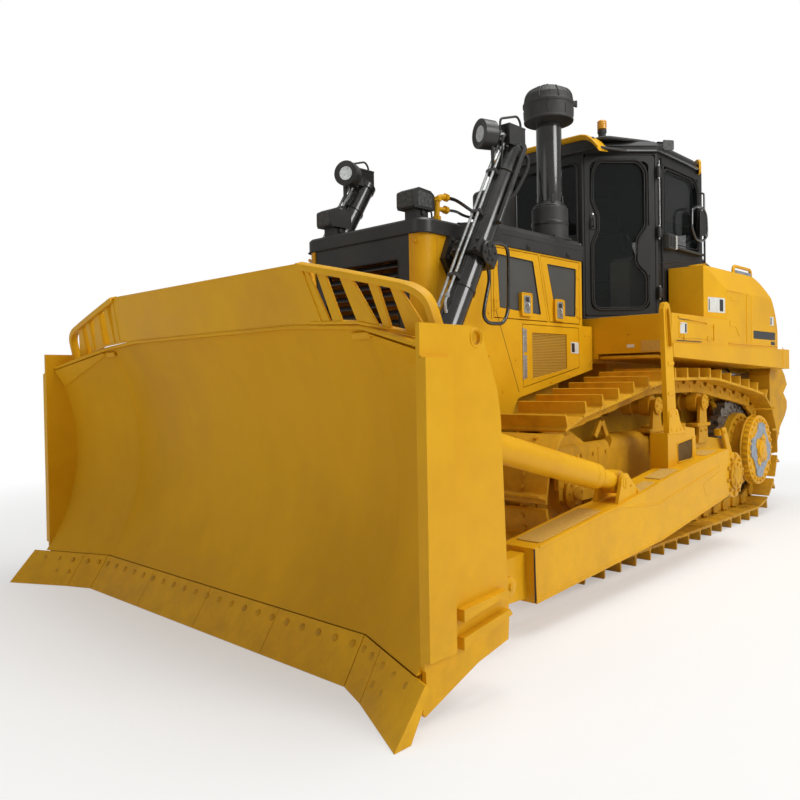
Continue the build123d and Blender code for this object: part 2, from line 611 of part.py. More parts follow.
with BuildPart() as control_consoles:
    for s in (-1, 1):
        plate([(1150, CAB_Z0), (1150, CAB_Z0 + 600), (1250, CAB_Z0 + 660), (1750, CAB_Z0 + 600),
               (1750, CAB_Z0)], s * 520 - 110, s * 520 + 110)
    plate([(600, CAB_Z0), (600, CAB_Z0 + 780), (660, CAB_Z0 + 860), (800, CAB_Z0 + 780), (760, CAB_Z0)],
          -330, 330)
save(control_consoles.part, "control_consoles")

# ---------------------------------------------------------------- stacks and lamps
STACK_X, STACK_Y = 420, -20
# outline of the stack: radius, height over the hood
STACK_PROFILE = [(0, 0), (170, 0), (170, 300), (135, 330), (115, 360), (115, 1110), (225, 1120), (235, 1290),
                 (222, 1355), (180, 1405), (105, 1442), (0, 1455)]
with BuildPart() as precleaner:
    with BuildSketch(Plane(origin=(STACK_X, STACK_Y, HOOD_TOP), x_dir=(1, 0, 0), z_dir=(0, -1, 0))):
        with BuildLine():
            Polyline(*STACK_PROFILE, close=True)
        make_face()
    revolve(axis=Axis((STACK_X, STACK_Y, 0), (0, 0, 1)))
save(precleaner.part, "precleaner")

with BuildPart() as muffler:
    with BuildSketch(Plane.XY.offset(HOOD_TOP)):
        with Locations((70, -405)):
            RectangleRounded(300, 390, 70)
    extrude(amount=460)
    fillet(muffler.edges().group_by(Axis.Z)[-1], radius=50)
save(muffler.part, "muffler")

with BuildPart() as lamps:
    for s in (-1, 1):
        block(s * 405, s * 525, -2000, -1870, GUARD_TOP + 110, GUARD_TOP + 205)
        plate([(-2050, GUARD_TOP + 200), (-2050, GUARD_TOP + 330), (-2000, GUARD_TOP + 355),
               (-1870, GUARD_TOP + 345), (-1830, GUARD_TOP + 320), (-1830, GUARD_TOP + 200)],
              s * 465 - 90, s * 465 + 90)
        block(s * 520, s * 720, 2190, 2330, 3640, 3760)
save(lamps.part, "lamps")

with BuildPart() as beacon:
    with Locations((525, 800, (CAB_Z1 + ROOF_THICK + 4075) / 2)):
        Cylinder(22, 4075 - CAB_Z1 - ROOF_THICK)
    with Locations((525, 800, 4115)):
        Cylinder(45, 90)
    fillet(beacon.edges().group_by(Axis.Z)[-1], radius=20)
save(beacon.part, "beacon")

# ---------------------------------------------------------------- push arms
CAP_R = 205
with BuildPart() as arm_bearings:
    with BuildSketch(side_plane(ARM_IN + 5)):
        with Locations((TRUNNION_Y, TRUNNION_Z)):
            Circle(CAP_R)
            Circle(SHAFT_R + 1, mode=Mode.SUBTRACT)
    extrude(amount=ARM_OUT - ARM_IN - 10)
    mirror(about=Plane.YZ)
save(arm_bearings.part, "arm_bearings")

ARM_OUTLINE = [(-2330, 190), (-2350, 530), (-1450, 640), (-1275, 652), (-968, 695), (-634, 748), (-75, 822),
               (745, 900), (770, 870), (770, 500), (745, 472), (-600, 295)]
with BuildPart() as arm:
    plate(ARM_OUTLINE, ARM_IN, ARM_OUT)
    with BuildSketch(side_plane(ARM_IN - 10)):
        with Locations((TRUNNION_Y, TRUNNION_Z)):
            Circle(CAP_R + 4)
    extrude(amount=ARM_OUT - ARM_IN + 20, mode=Mode.SUBTRACT)
    # front forging with its eye
    eye_y, eye_z = BLADE_PIN_Y, BLADE_PIN_Z
    plate([(-2320, 215), (-2320, 500), (eye_y, eye_z + 130), (eye_y, eye_z - 130)], 1590, 1700)
    with BuildSketch(side_plane(1590)):
        with Locations((eye_y, eye_z)):
            Circle(130)
    extrude(amount=110)
    with BuildSketch(side_plane(1580)):
        with Locations((eye_y, eye_z)):
            Circle(74)
    extrude(amount=130, mode=Mode.SUBTRACT)
    # fork that holds the rear eye of the strut
    fork_y, fork_z = STRUT_REAR
    for x0 in (STRUT_X - 102, STRUT_X + 77):
        with BuildSketch(side_plane(x0)) as cheek:
            with BuildLine():
                Polyline((fork_y - 130, 630), (fork_y - 66, fork_z), (fork_y + 45, fork_z + 48),
                         (fork_y + 230, 690), (fork_y + 230, 650), close=True)
            make_face()
            with Locations((fork_y, fork_z)):
                Circle(68)
        extrude(cheek.sketch, amount=25)
    # leaning hose post with a long slot, on its windowed foot
    plate([(-190, 1080), (-257, 2110), (-235, 2160), (-190, 2175), (-145, 2160), (-125, 2110), (-17, 1080)],
          1600, 1640)
    plate([(-188, 1800), (-218, 2100), (-190, 2138), (-162, 2100), (-112, 1800)], 1590, 1650,
          mode=Mode.SUBTRACT)
    block(1490, 1645, -212, -187, 690, 1095)
    plate([(-200, 660), (-190, 1100), (-60, 1150), (324, 1110), (379, 740)], 1622, 1645)
    plate([(-46, 1004), (279, 1033), (274, 843), (-31, 835)], 1600, 1660, mode=Mode.SUBTRACT)
save_pair(arm.part, "arm")

# ---------------------------------------------------------------- blade
def wing_shift(x):
    return -WING_SLOPE * max(0, abs(x) - BLADE_BEND_X)


def along_blade(outline, x_end=BLADE_END_X, mode=Mode.ADD):
    """Carry a closed side outline along the straight middle and both wings of the blade."""
    with BuildSketch(side_plane(-BLADE_BEND_X)) as middle:
        add(outline)
    extrude(middle.sketch, amount=2 * BLADE_BEND_X, mode=mode)
    length = (x_end - BLADE_BEND_X) * math.hypot(1, WING_SLOPE)
    for s in (-1, 1):
        with BuildSketch(side_plane(s * BLADE_BEND_X)) as root:
            add(outline)
        extrude(root.sketch, amount=length, dir=(s, -WING_SLOPE, 0), mode=mode)


with BuildSketch() as mould_outline:
    back = [(y + MOULD_PLATE, z) for y, z in (MOULD_FOOT, MOULD_WAIST, MOULD_TOP)]
    with BuildLine():
        ThreePointArc(MOULD_FOOT, MOULD_WAIST, MOULD_TOP)
        Line(MOULD_TOP, back[2])
        ThreePointArc(*back)
        Line(back[0], MOULD_FOOT)
    make_face()

def crest_band(z_low, z_high):
    """Front view of the strip between two offsets from the blade's top edge, x and z."""
    low = [(x, z + z_low) for x, z in BLADE_CREST]
    high = [(x, z + z_high) for x, z in BLADE_CREST]
    return [(-x, z) for x, z in reversed(low)] + low + high[::-1] + [(-x, z) for x, z in high]


def front_band(z_low, z_high, mode):
    """Solid as wide as the blade that fills a strip under, along or over its top edge."""
    with BuildSketch(Plane(origin=(0, -4300, 0), x_dir=(1, 0, 0), z_dir=(0, -1, 0))) as band:
        with BuildLine():
            Polyline(*dict.fromkeys(crest_band(z_low, z_high)), close=True)
        make_face()
    extrude(band.sketch, amount=-1300, mode=mode)


with BuildPart() as crest_flange:
    # its plan: front edge out past the moldboard, back edge straight
    with BuildSketch(Plane.XY.offset(1600)):
        with BuildLine():
            Polyline((-2050, -3612), (-1460, -3462), (-920, -3490), (920, -3490), (1460, -3462),
                     (2050, -3612), (2050, -3370), (-2050, -3370), close=True)
        make_face()
    extrude(amount=400)
    front_band(-CREST_PLATE, 0, Mode.INTERSECT)

with BuildPart() as moldboard:
    along_blade(mould_outline.sketch)
    front_band(-CREST_PLATE, 400, Mode.SUBTRACT)
    add(crest_flange.part)
save(moldboard.part, "moldboard")


# space that the moldboard fills, with 1 mm of air behind its back face
with BuildSketch() as mould_space:
    with BuildLine():
        air = MOULD_PLATE + 1
        ThreePointArc(*[(y + air, z) for y, z in (MOULD_FOOT, MOULD_WAIST, MOULD_TOP)])
        Polyline((MOULD_TOP[0] + air, MOULD_TOP[1]), (-4200, MOULD_TOP[1]), (-4200, MOULD_FOOT[1]),
                 (MOULD_FOOT[0] + air, MOULD_FOOT[1]))
    make_face()

LUG_ROOT = -3260
# closed boxes across the back, foot and top heights
BACK_BOXES = [(250, 760), (1150, 1620)]
with BuildSketch() as back_boxes:
    for z0, z1 in BACK_BOXES:
        with BuildLine():
            Polyline((-3600, z0), (BLADE_BACK_Y - 40, z0), (BLADE_BACK_Y, z0 + 40), (BLADE_BACK_Y, z1 - 60),
                     (BLADE_BACK_Y - 60, z1), (-3600, z1), close=True)
        make_face()
# sloped plate that the cutting edges are bolted to
with BuildSketch() as edge_base:
    with BuildLine():
        Polyline((-3503, 112), (-3407, 264), (-3360, 264), (-3373, 243), (-3469, 91), close=True)
    make_face()
with BuildPart() as blade_back:
    along_blade(back_boxes.sketch, BLADE_END_X - 10)
    along_blade(edge_base.sketch, BLADE_END_X - 10)
    for x in (-1900, -1460, -980, -480, 0, 480, 980, 1460, 1900):
        shift = wing_shift(x)
        plate([(-3400 + shift, 740), (BLADE_BACK_Y - 20 + shift, 740), (BLADE_BACK_Y - 20 + shift, 1170),
               (-3400 + shift, 1170)], x - 14, x + 14)
    along_blade(mould_space.sketch, BLADE_END_X + 60, mode=Mode.SUBTRACT)
    # lugs: push arm, strut and lift cylinder, each a pair of cheeks
    for s in (-1, 1):
        for x0 in (1535, 1730):
            plate([(LUG_ROOT, 260), (LUG_ROOT, 480), (BLADE_PIN_Y - 60, 460), (BLADE_PIN_Y + 60, 400),
                   (BLADE_PIN_Y + 60, 300), (BLADE_PIN_Y - 60, 250)], s * x0, s * (x0 + 26))
        for x0 in (STRUT_FRONT_X - 108, STRUT_FRONT_X + 82):
            root = -3140 + wing_shift(x0)
            plate([(root, 1190), (root, 1420), (STRUT_FRONT[0] + 60, 1320),
                   (STRUT_FRONT[0] + 60, 1200)], s * x0, s * (x0 + 26))
        for x0 in (LIFT_EYE[0] - 128, LIFT_EYE[0] + 76):
            plate([(LUG_ROOT + 100, 480), (LUG_ROOT + 100, 740), (LIFT_EYE[1] - 60, 800),
                   (LIFT_EYE[1] + 60, 790), (LIFT_EYE[1] + 80, 620)], s * x0, s * (x0 + 26))
        with BuildSketch(side_plane(s * 1556)):
            with Locations((BLADE_PIN_Y, BLADE_PIN_Z)):
                Circle(46)
        extrude(amount=s * 178)
save(blade_back.part, "blade_back")

SIDE_OUTLINE = [(-3690, 1822), (-3325, 1822), (-3240, 1806), (-3110, 1500), (-3087, 1355), (-3040, 330),
                (-3050, 230), (-3300, 180), (-3690, 40), (-3705, 60), (-3680, 190), (-3680, 240),
                (-3690, 250)]
SIDE_PLATE = 25
WEAR_BARS = [[(-3456, 424), (-3456, 481), (-3112, 505), (-3092, 478)],
             [(-3459, 292), (-3459, 349), (-3092, 402), (-3070, 372)]]
EYE_HOLE = (-3280, 1765)
EYE_HOLE_R = 35
with BuildPart() as blade_sides:
    for s in (-1, 1):
        plate(SIDE_OUTLINE, s * BLADE_END_X, s * (BLADE_END_X + SIDE_PLATE))
        # doubler along the front edge, then the wedge-shaped wear bars
        block(s * (BLADE_END_X + SIDE_PLATE), s * (BLADE_END_X + 60), -3690, -3500, 290, 1665)
        for bar in WEAR_BARS:
            plate(bar, s * (BLADE_END_X + SIDE_PLATE), s * (BLADE_END_X + 70))
        # lifting hole
        with BuildSketch(side_plane(s * BLADE_END_X)) as hole:
            with Locations(EYE_HOLE):
                Circle(EYE_HOLE_R)
        extrude(hole.sketch, amount=s * SIDE_PLATE, mode=Mode.SUBTRACT)
save(blade_sides.part, "blade_sides")

EDGE_SECTION = [(-3630, 0), (-3480, 228), (-3446, 206), (-3576, 0)]
EDGE_ENDS = [(-1456, -732), (-728, -2), (2, 728), (732, 1456)]
with BuildPart() as cutting_edges:
    for x0, x1 in EDGE_ENDS:
        plate(EDGE_SECTION, x0, x1)
    for s in (-1, 1):
        # wing segment, then the end bit that flares out past the side plate
        for x0, x1, flare in ((1462, 1668, 0), (1672, BLADE_HALF, 50)):
            with BuildSketch(side_plane(s * x0, wing_shift(x0))):
                with BuildLine():
                    Polyline(*EDGE_SECTION, close=True)
                make_face()
            with BuildSketch(side_plane(s * x1, wing_shift(x1))):
                with BuildLine():
                    Polyline((EDGE_SECTION[0][0] - flare, 0), *EDGE_SECTION[1:], close=True)
                make_face()
            loft(ruled=True)
save(cutting_edges.part, "cutting_edges")

# rock guard, drawn in its own leaning plane: own x across the machine, own y up the plate
GUARD_LEAN = math.atan2(90, 320)
GUARD_PLANE = Plane(origin=(0, -3480, 1850), x_dir=(1, 0, 0),
                    z_dir=(0, -math.cos(GUARD_LEAN), -math.sin(GUARD_LEAN)))
GUARD_FOOT = [(920, 45), (1460, 12), (1950, -98)]  # the foot follows the blade's top edge
GUARD_PEAK = [(1960, 110), (1120, 360)]
# slots in each wing of the guard: x at the foot and at the top edge of each side of the slot
GUARD_SLOTS = [(1230, 1330, 1175, 1250), (1400, 1500, 1330, 1420), (1560, 1660, 1490, 1570),
               (1720, 1830, 1640, 1730)]
with BuildPart() as rock_guard:
    with BuildSketch(GUARD_PLANE):
        half_guard = GUARD_FOOT + GUARD_PEAK
        with BuildLine():
            Polyline(*half_guard, *[(-x, v) for x, v in reversed(half_guard)], close=True)
        make_face()
        for s in (-1, 1):
            for foot0, foot1, top0, top1 in GUARD_SLOTS:
                rise0 = 300 - (top0 - 1120) * 0.3
                rise1 = 300 - (top1 - 1120) * 0.3
                base0 = 45 - max(0, foot0 - 1400) * 0.2
                base1 = 45 - max(0, foot1 - 1400) * 0.2
                with BuildLine():
                    Polyline((s * foot0, base0), (s * top0, rise0), (s * top1, rise1), (s * foot1, base1),
                             close=True)
                make_face(mode=Mode.SUBTRACT)
    extrude(amount=-22)
save(rock_guard.part, "rock_guard")

# ---------------------------------------------------------------- strut and tilt cylinder
STRUT_VECTOR = (STRUT_FRONT_X - STRUT_X, STRUT_FRONT[0] - STRUT_REAR[0], STRUT_FRONT[1] - STRUT_REAR[1])
STRUT_LENGTH = math.hypot(*STRUT_VECTOR)


def strut_plane(distance, s=1):
    """Plane across the strut at a distance from its rear pin; s = -1 on the right side."""
    u = [c / STRUT_LENGTH for c in STRUT_VECTOR]
    return Plane(origin=(s * (STRUT_X + u[0] * distance), STRUT_REAR[0] + u[1] * distance,
                         STRUT_REAR[1] + u[2] * distance), z_dir=(s * u[0], u[1], u[2]))


def rod_eye(x, y, z, radius, width):
    with BuildSketch(side_plane(x - width / 2)) as disc:
        with Locations((y, z)):
            Circle(radius)
    extrude(disc.sketch, amount=width)


with BuildPart() as strut:
    rod_eye(STRUT_X, *STRUT_REAR, 85, 100)
    rod_eye(STRUT_FRONT_X, *STRUT_FRONT, 80, 100)
    for d0, d1, radius in ((50, 260, 66), (250, STRUT_LENGTH - 320, 92),
                           (STRUT_LENGTH - 330, STRUT_LENGTH - 40, 48)):
        with BuildSketch(strut_plane(d0)):
            Circle(radius)
        extrude(amount=d1 - d0)
save(strut.part, "strut")

with BuildPart() as tilt_barrel:
    rod_eye(-STRUT_X, *STRUT_REAR, 85, 100)
    with BuildSketch(strut_plane(40, -1)):
        Circle(48)
    extrude(amount=200)
    with BuildSketch(strut_plane(200, -1)):
        Circle(125)
    extrude(amount=820)
    with BuildSketch(strut_plane(1021, -1)):
        Circle(62)
    extrude(amount=-760, mode=Mode.SUBTRACT)
save(tilt_barrel.part, "tilt_barrel")

with BuildPart() as tilt_rod:
    rod_eye(-STRUT_FRONT_X, *STRUT_FRONT, 80, 100)
    with BuildSketch(strut_plane(STRUT_LENGTH - 40, -1)):
        Circle(50)
    extrude(amount=-(STRUT_LENGTH - 40 - 620))
save(tilt_rod.part, "tilt_rod")

# ---------------------------------------------------------------- lift cylinders
LIFT_VECTOR = tuple(e - t for e, t in zip(LIFT_EYE, LIFT_T))
LIFT_LENGTH = math.hypot(*LIFT_VECTOR)


def lift_plane(distance):
    """Plane across the lift cylinder, at a distance down from its trunnion."""
    u = [c / LIFT_LENGTH for c in LIFT_VECTOR]
    return Plane(origin=tuple(t + c * distance for t, c in zip(LIFT_T, u)), x_dir=(1, 0, -u[0] / u[2]),
                 z_dir=tuple(u))


with BuildPart() as lift_barrel:
    with BuildSketch(lift_plane(-BARREL_UP)):
        Circle(BARREL_R)
    extrude(amount=BARREL_UP + BARREL_DOWN)
    with BuildSketch(lift_plane(BARREL_DOWN - 90)):
        Circle(BARREL_R + 14)
    extrude(amount=90)
    with BuildSketch(lift_plane(-BARREL_UP + 60)):
        Circle(BORE_R)
    extrude(amount=BARREL_UP + BARREL_DOWN, mode=Mode.SUBTRACT)
    # work lamp on a box over the head of the barrel
    head_x, head_y, head_z = [t - c / LIFT_LENGTH * BARREL_UP for t, c in zip(LIFT_T, LIFT_VECTOR)]
    block(head_x - 80, head_x + 80, head_y - 170, head_y + 40, head_z - 30, head_z + 120)
    with BuildSketch(Plane(origin=(head_x - 15, head_y - 150, head_z + 45), z_dir=(-0.38, -0.925, 0))):
        Circle(60)
    extrude(amount=110)
    with BuildSketch(Plane(origin=(head_x - 47, head_y - 226, head_z + 45), z_dir=(-0.38, -0.925, 0))):
        Circle(110)
    extrude(amount=100)
    # valve pipe along the outside
    with BuildSketch(lift_plane(-BARREL_UP + 100)):
        with Locations((BARREL_R + 26, 0)):
            Circle(22)
    extrude(amount=700)
    with BuildSketch(lift_plane(-BARREL_UP + 100)):
        with Locations((BARREL_R + 5, 0)):
            Rectangle(50, 40)
    extrude(amount=60)
    with BuildSketch(lift_plane(-BARREL_UP + 740)):
        with Locations((BARREL_R + 5, 0)):
            Rectangle(50, 40)
    extrude(amount=60)
save_pair(lift_barrel.part, "lift_barrel")

NECK = 260  # slimmer end of the rod above its eye
with BuildPart() as lift_rod:
    with BuildSketch(lift_plane(200)):
        Circle(ROD_R)
    extrude(amount=LIFT_LENGTH - 200 - NECK)
    with BuildSketch(lift_plane(LIFT_LENGTH - NECK - 10)):
        Circle(40)
    extrude(amount=NECK - 30)
    rod_eye(*LIFT_EYE, 88, 80)
save_pair(lift_rod.part, "lift_rod")

BRACKET_OUT = GUARD_X + 50
with BuildPart() as lift_yoke:
    with BuildSketch(lift_plane(-60)):
        Rectangle(2 * BARREL_R + 56, 2 * BARREL_R + 50)
        Circle(BARREL_R + 8, mode=Mode.SUBTRACT)
    extrude(amount=120)
    with BuildSketch(side_plane(BRACKET_OUT + 2)):
        with Locations((LIFT_T[1], LIFT_T[2])):
            Circle(50)
    extrude(amount=LIFT_T[0] - BARREL_R - 12 - BRACKET_OUT - 2)
save_pair(lift_yoke.part, "lift_yoke")

with BuildPart() as yoke_brackets:
    plate([(-1900, 2467), (-1820, 2640), (-1665, 2640), (-1580, 2480), (-1660, 2330), (-1815, 2330)],
          GUARD_X, BRACKET_OUT)
    mirror(about=Plane.YZ)
save(yoke_brackets.part, "yoke_brackets")
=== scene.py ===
"""Dresses the crawler bulldozer: finishes for its steel solids and the pieces that go on them.

Metres, +Z up, the machine faces -Y and its left side is +X.
"""

import math

import bmesh
import bpy
import numpy as np
from mathutils import Matrix, Vector


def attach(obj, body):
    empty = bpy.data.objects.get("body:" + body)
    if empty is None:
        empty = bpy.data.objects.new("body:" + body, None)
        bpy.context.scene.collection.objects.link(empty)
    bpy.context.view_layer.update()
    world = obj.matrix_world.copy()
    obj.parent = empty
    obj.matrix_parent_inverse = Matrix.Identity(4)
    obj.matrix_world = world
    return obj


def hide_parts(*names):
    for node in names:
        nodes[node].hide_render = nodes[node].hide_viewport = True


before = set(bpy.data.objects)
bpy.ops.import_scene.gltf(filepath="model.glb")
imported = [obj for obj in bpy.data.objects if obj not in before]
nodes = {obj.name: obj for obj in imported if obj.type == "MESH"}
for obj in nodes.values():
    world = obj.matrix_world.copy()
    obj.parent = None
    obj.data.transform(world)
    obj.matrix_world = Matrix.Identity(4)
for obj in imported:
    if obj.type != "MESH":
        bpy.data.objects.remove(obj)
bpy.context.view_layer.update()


# ---------------------------------------------------------------- camera and light
CAMERA_AT = (4.384, -6.221, 1.56)
YAW, PITCH, ROLL = map(math.radians, (42.88, -0.84, -0.93))
LENS_MM, SHIFT_X, SHIFT_Y = 34.4, -0.0168, -0.01

lens = bpy.data.cameras.new("camera")
lens.lens, lens.sensor_width = LENS_MM, 36.0
lens.shift_x, lens.shift_y = SHIFT_X, SHIFT_Y
lens.clip_end = 200.0
camera = bpy.data.objects.new("camera", lens)
turn = Matrix.Rotation(YAW, 4, "Z") @ Matrix.Rotation(math.pi / 2 + PITCH, 4, "X") @ Matrix.Rotation(
    ROLL, 4, "Z")
camera.matrix_world = Matrix.Translation(CAMERA_AT) @ turn
bpy.context.scene.collection.objects.link(camera)
bpy.context.scene.camera = camera
bpy.context.scene.view_settings.view_transform = "Standard"


def softbox(name, at, towards, size, watts):
    """Round soft light at a place, facing another place."""
    lamp = bpy.data.lights.new(name, "AREA")
    lamp.shape, lamp.size, lamp.energy = "DISK", size, watts
    box = bpy.data.objects.new(name, lamp)
    box.location = at
    box.rotation_euler = (Vector(towards) - Vector(at)).to_track_quat("-Z", "Y").to_euler()
    bpy.context.scene.collection.objects.link(box)


softbox("overhead", (3.0, 1.0, 13.0), (0.5, 0.0, 1.0), 9.0, 900)
softbox("left_side", (12.5, 0.5, 8.0), (0.8, 0.0, 1.2), 6.5, 760)
softbox("front", (-2.0, -14.0, 5.0), (0.0, -3.0, 1.0), 7.0, 90)


# ---------------------------------------------------------------- finishes
def linear(hex_code):
    """sRGB hex to linear RGBA."""
    c = np.array([int(hex_code[i:i + 2], 16) for i in (1, 3, 5)]) / 255.0
    c = np.where(c <= 0.04045, c / 12.92, ((c + 0.055) / 1.055) ** 2.4)
    return (*c.tolist(), 1.0)


def add(tree, kind, settings=None, **inputs):
    """Add a node, set its own values, then fill or link its inputs; _3 means input number 3."""
    made = tree.nodes.new("ShaderNode" + kind)
    for key, value in (settings or {}).items():
        setattr(made, key, value)
    for key, value in inputs.items():
        socket = made.inputs[int(key[1:])] if key[1:].isdigit() else made.inputs[key.replace("_", " ")]
        if isinstance(value, bpy.types.NodeSocket):
            tree.links.new(value, socket)
        else:
            socket.default_value = value
    return made


def finish(name, colour, **values):
    """Named finish: a Principled surface with constants on its own sockets."""
    made = bpy.data.materials.new(name)
    made.use_nodes = True
    tree = made.node_tree
    shader = tree.nodes["Principled BSDF"]
    shader.inputs["Base Color"].default_value = linear(colour)
    for key, value in values.items():
        shader.inputs[key.replace("_", " ")].default_value = value
    made.diffuse_color = linear(colour)
    return made, tree, shader


NOISE_RANGE = (0.3, 0.7)  # between these lies nearly all of a noise texture's output


def mottle(tree, shader, colours, scale, rough_range=None, bump=None, stretch=(1, 1, 1)):
    """Colour (and roughness) drift by noise of a given scale per metre.

    bump is the scale and the height in metres of a second, finer noise.
    """
    where = add(tree, "TexCoord").outputs["Object"]
    placed = add(tree, "Mapping", Vector=where, Scale=stretch).outputs[0]
    noise = add(tree, "TexNoise", Vector=placed, Scale=scale, Detail=4.0, Roughness=0.6)
    ramp = add(tree, "ValToRGB", Fac=noise.outputs["Fac"])
    stops = ramp.color_ramp.elements
    for i, (at, hex_code) in enumerate(colours):
        stop = stops[i] if i < 2 else stops.new(at)
        stop.position, stop.color = at, linear(hex_code)
    tree.links.new(ramp.outputs[0], shader.inputs["Base Color"])
    if rough_range:
        low, high = rough_range
        least, most = NOISE_RANGE
        spread = add(tree, "MapRange", Value=noise.outputs["Fac"], _1=least, _2=most, _3=low, _4=high)
        tree.links.new(spread.outputs[0], shader.inputs["Roughness"])
    if bump:
        grain = add(tree, "TexNoise", Vector=where, Scale=bump[0], Detail=2.0)
        raised = add(tree, "Bump", Height=grain.outputs["Fac"], Distance=bump[1], Strength=1.0)
        tree.links.new(raised.outputs[0], shader.inputs["Normal"])
    return where, ramp


def grime(tree, shader, where, clean, hex_code, low, high, amount):
    """Dust that thickens from height high down to height low, broken up by noise."""
    height = add(tree, "SeparateXYZ", Vector=where).outputs["Z"]
    fade = add(tree, "MapRange", Value=height, _1=low, _2=high, _3=amount, _4=0.0).outputs[0]
    patch = add(tree, "TexNoise", Vector=where, Scale=7.0, Detail=6.0, Roughness=0.7).outputs["Fac"]
    level = add(tree, "MapRange", Value=patch, _1=0.38, _2=0.62).outputs[0]
    mask = add(tree, "Math", {"operation": "MULTIPLY"}, _0=fade, _1=level).outputs[0]
    mixed = add(tree, "Mix", {"data_type": "RGBA"}, Factor=mask, _6=clean.outputs[0], _7=linear(hex_code))
    tree.links.new(mixed.outputs[2], shader.inputs["Base Color"])


def coat(name, colour, stops, scale, rough_range=None, bump=None, stretch=(1, 1, 1), dust=None, **values):
    """Named finish that is mottled and, where dust is given, dusty near the ground."""
    made, tree, shader = finish(name, colour, **values)
    where, ramp = mottle(tree, shader, stops, scale, rough_range, bump, stretch)
    if dust:
        grime(tree, shader, where, ramp, *dust)
    return made


# alkyd machine enamel sprayed on plate: warm yellow, satin, with fine orange peel (about 3 mm)
# and the faint clouding of a hand-sprayed coat
enamel_yellow = coat("enamel_yellow", "#DCA216",
                     [(0.3, "#D79C0E"), (0.62, "#E3AA14"), (0.8, "#DDA514")], 1.6,
                     rough_range=(0.36, 0.52), bump=(330.0, 0.00025),
                     dust=("#A67C24", 0.0, 0.9, 0.3), Roughness=0.42, Specular_IOR_Level=0.2)

# the same enamel on the blade face, painted darker than elsewhere as the shade on the blade's front, clouded
# by polishing and dragged vertically
enamel_blade_shaded = coat("enamel_blade_shaded", "#C8920F",
                    [(0.28, "#CA940C"), (0.6, "#DEA512"), (0.85, "#D49D16")], 1.1,
                    rough_range=(0.38, 0.55), bump=(260.0, 0.0003), stretch=(1.0, 1.0, 0.45),
                    dust=("#B89036", 0.2, 1.3, 0.18), Roughness=0.42, Specular_IOR_Level=0.16)

# enamel on castings and forgings: grainier than on plate (sand about 4 mm), dust thickening towards the
# ground
enamel_cast = coat("enamel_cast", "#CF9A1C",
                   [(0.28, "#B98512"), (0.55, "#D49C18"), (0.85, "#CA951E")], 5.0,
                   rough_range=(0.45, 0.68), bump=(240.0, 0.0009),
                   dust=("#8C6C36", 0.0, 1.3, 0.5), Roughness=0.55, Specular_IOR_Level=0.2)

# satin black enamel on sheet: charcoal, soft sheen
enamel_black = coat("enamel_black", "#33322F", [(0.3, "#252422"), (0.7, "#31302D")], 3.0,
                    rough_range=(0.32, 0.48), bump=(300.0, 0.0002), Roughness=0.38)

# powder coat of the cab: flatter than the sheet black, orange peel about 3 mm, its colour darkened below it
# as painted shade on the cab's sides
cab_black_shaded = coat("cab_black_shaded", "#1E1D1B", [(0.3, "#191817"), (0.7, "#242321")], 2.4, rough_range=(0.36, 0.5),
                 bump=(320.0, 0.0002), Roughness=0.42, Specular_IOR_Level=0.4)

# gloss black enamel on pipes and barrels
gloss_black = coat("gloss_black", "#262523", [(0.3, "#201F1D"), (0.7, "#2D2C2A")], 6.0,
                   rough_range=(0.14, 0.26), Roughness=0.18, Coat_Weight=0.6, Coat_Roughness=0.08)

# moulded black polypropylene with a 2 mm leather grain
moulded_black = coat("moulded_black", "#2F2E2C", [(0.3, "#292826"), (0.7, "#363532")], 9.0,
                     rough_range=(0.48, 0.62), bump=(480.0, 0.0008), Roughness=0.55)

# EPDM rubber: dead black, dusty
rubber = coat("rubber", "#1D1C1B", [(0.3, "#181716"), (0.75, "#282624")], 25.0, bump=(500.0, 0.0004),
              Roughness=0.75)

# worn tooth steel: bare grey with patches of brown film
tooth_steel = coat("tooth_steel", "#8A8880", [(0.3, "#6F675A"), (0.52, "#92908A"), (0.8, "#A9A8A3")], 18.0,
                   rough_range=(0.28, 0.55), bump=(160.0, 0.0008), Metallic=0.85, Roughness=0.38)

# hard chrome on rods: mirror bright, faint lengthwise polish
rod_chrome = coat("rod_chrome", "#D8D9DA", [(0.3, "#CDCFD0"), (0.7, "#E2E3E3")], 30.0,
                  rough_range=(0.07, 0.16), Metallic=1.0, Roughness=0.1)

# zinc-plated latches and screws
zinc = coat("zinc", "#B9BBB8", [(0.3, "#A3A6A4"), (0.7, "#CBCDCA")], 60.0, rough_range=(0.25, 0.45),
            Metallic=0.9, Roughness=0.32)

# perforated black sheet behind the door windows: 6 mm holes drawn as 12 mm ones so that they show; the holes
# are painted dark as the shade seen through them
mesh_sheet, t, s = finish("mesh_sheet", "#3A3A37", Roughness=0.5)
where = add(t, "TexCoord").outputs["Object"]
cells = add(t, "TexVoronoi", {"feature": "F1"}, Vector=where, Scale=85.0, Randomness=0.0).outputs["Distance"]
holes = add(t, "MapRange", Value=cells, _1=0.3, _2=0.4).outputs[0]
cloud = add(t, "TexNoise", Vector=where, Scale=4.0, Detail=3.0).outputs["Fac"]
sheet_tone = add(t, "Mix", {"data_type": "RGBA"}, Factor=cloud, _6=linear("#42423E"), _7=linear("#4C4C49"))
with_shaded_holes = add(t, "Mix", {"data_type": "RGBA"}, Factor=holes, _6=linear("#242422"),
                 _7=sheet_tone.outputs[2])
t.links.new(with_shaded_holes.outputs[2], s.inputs["Base Color"])
dimples = add(t, "Bump", Height=holes, Distance=0.002, Strength=0.6)
t.links.new(dimples.outputs[0], s.inputs["Normal"])
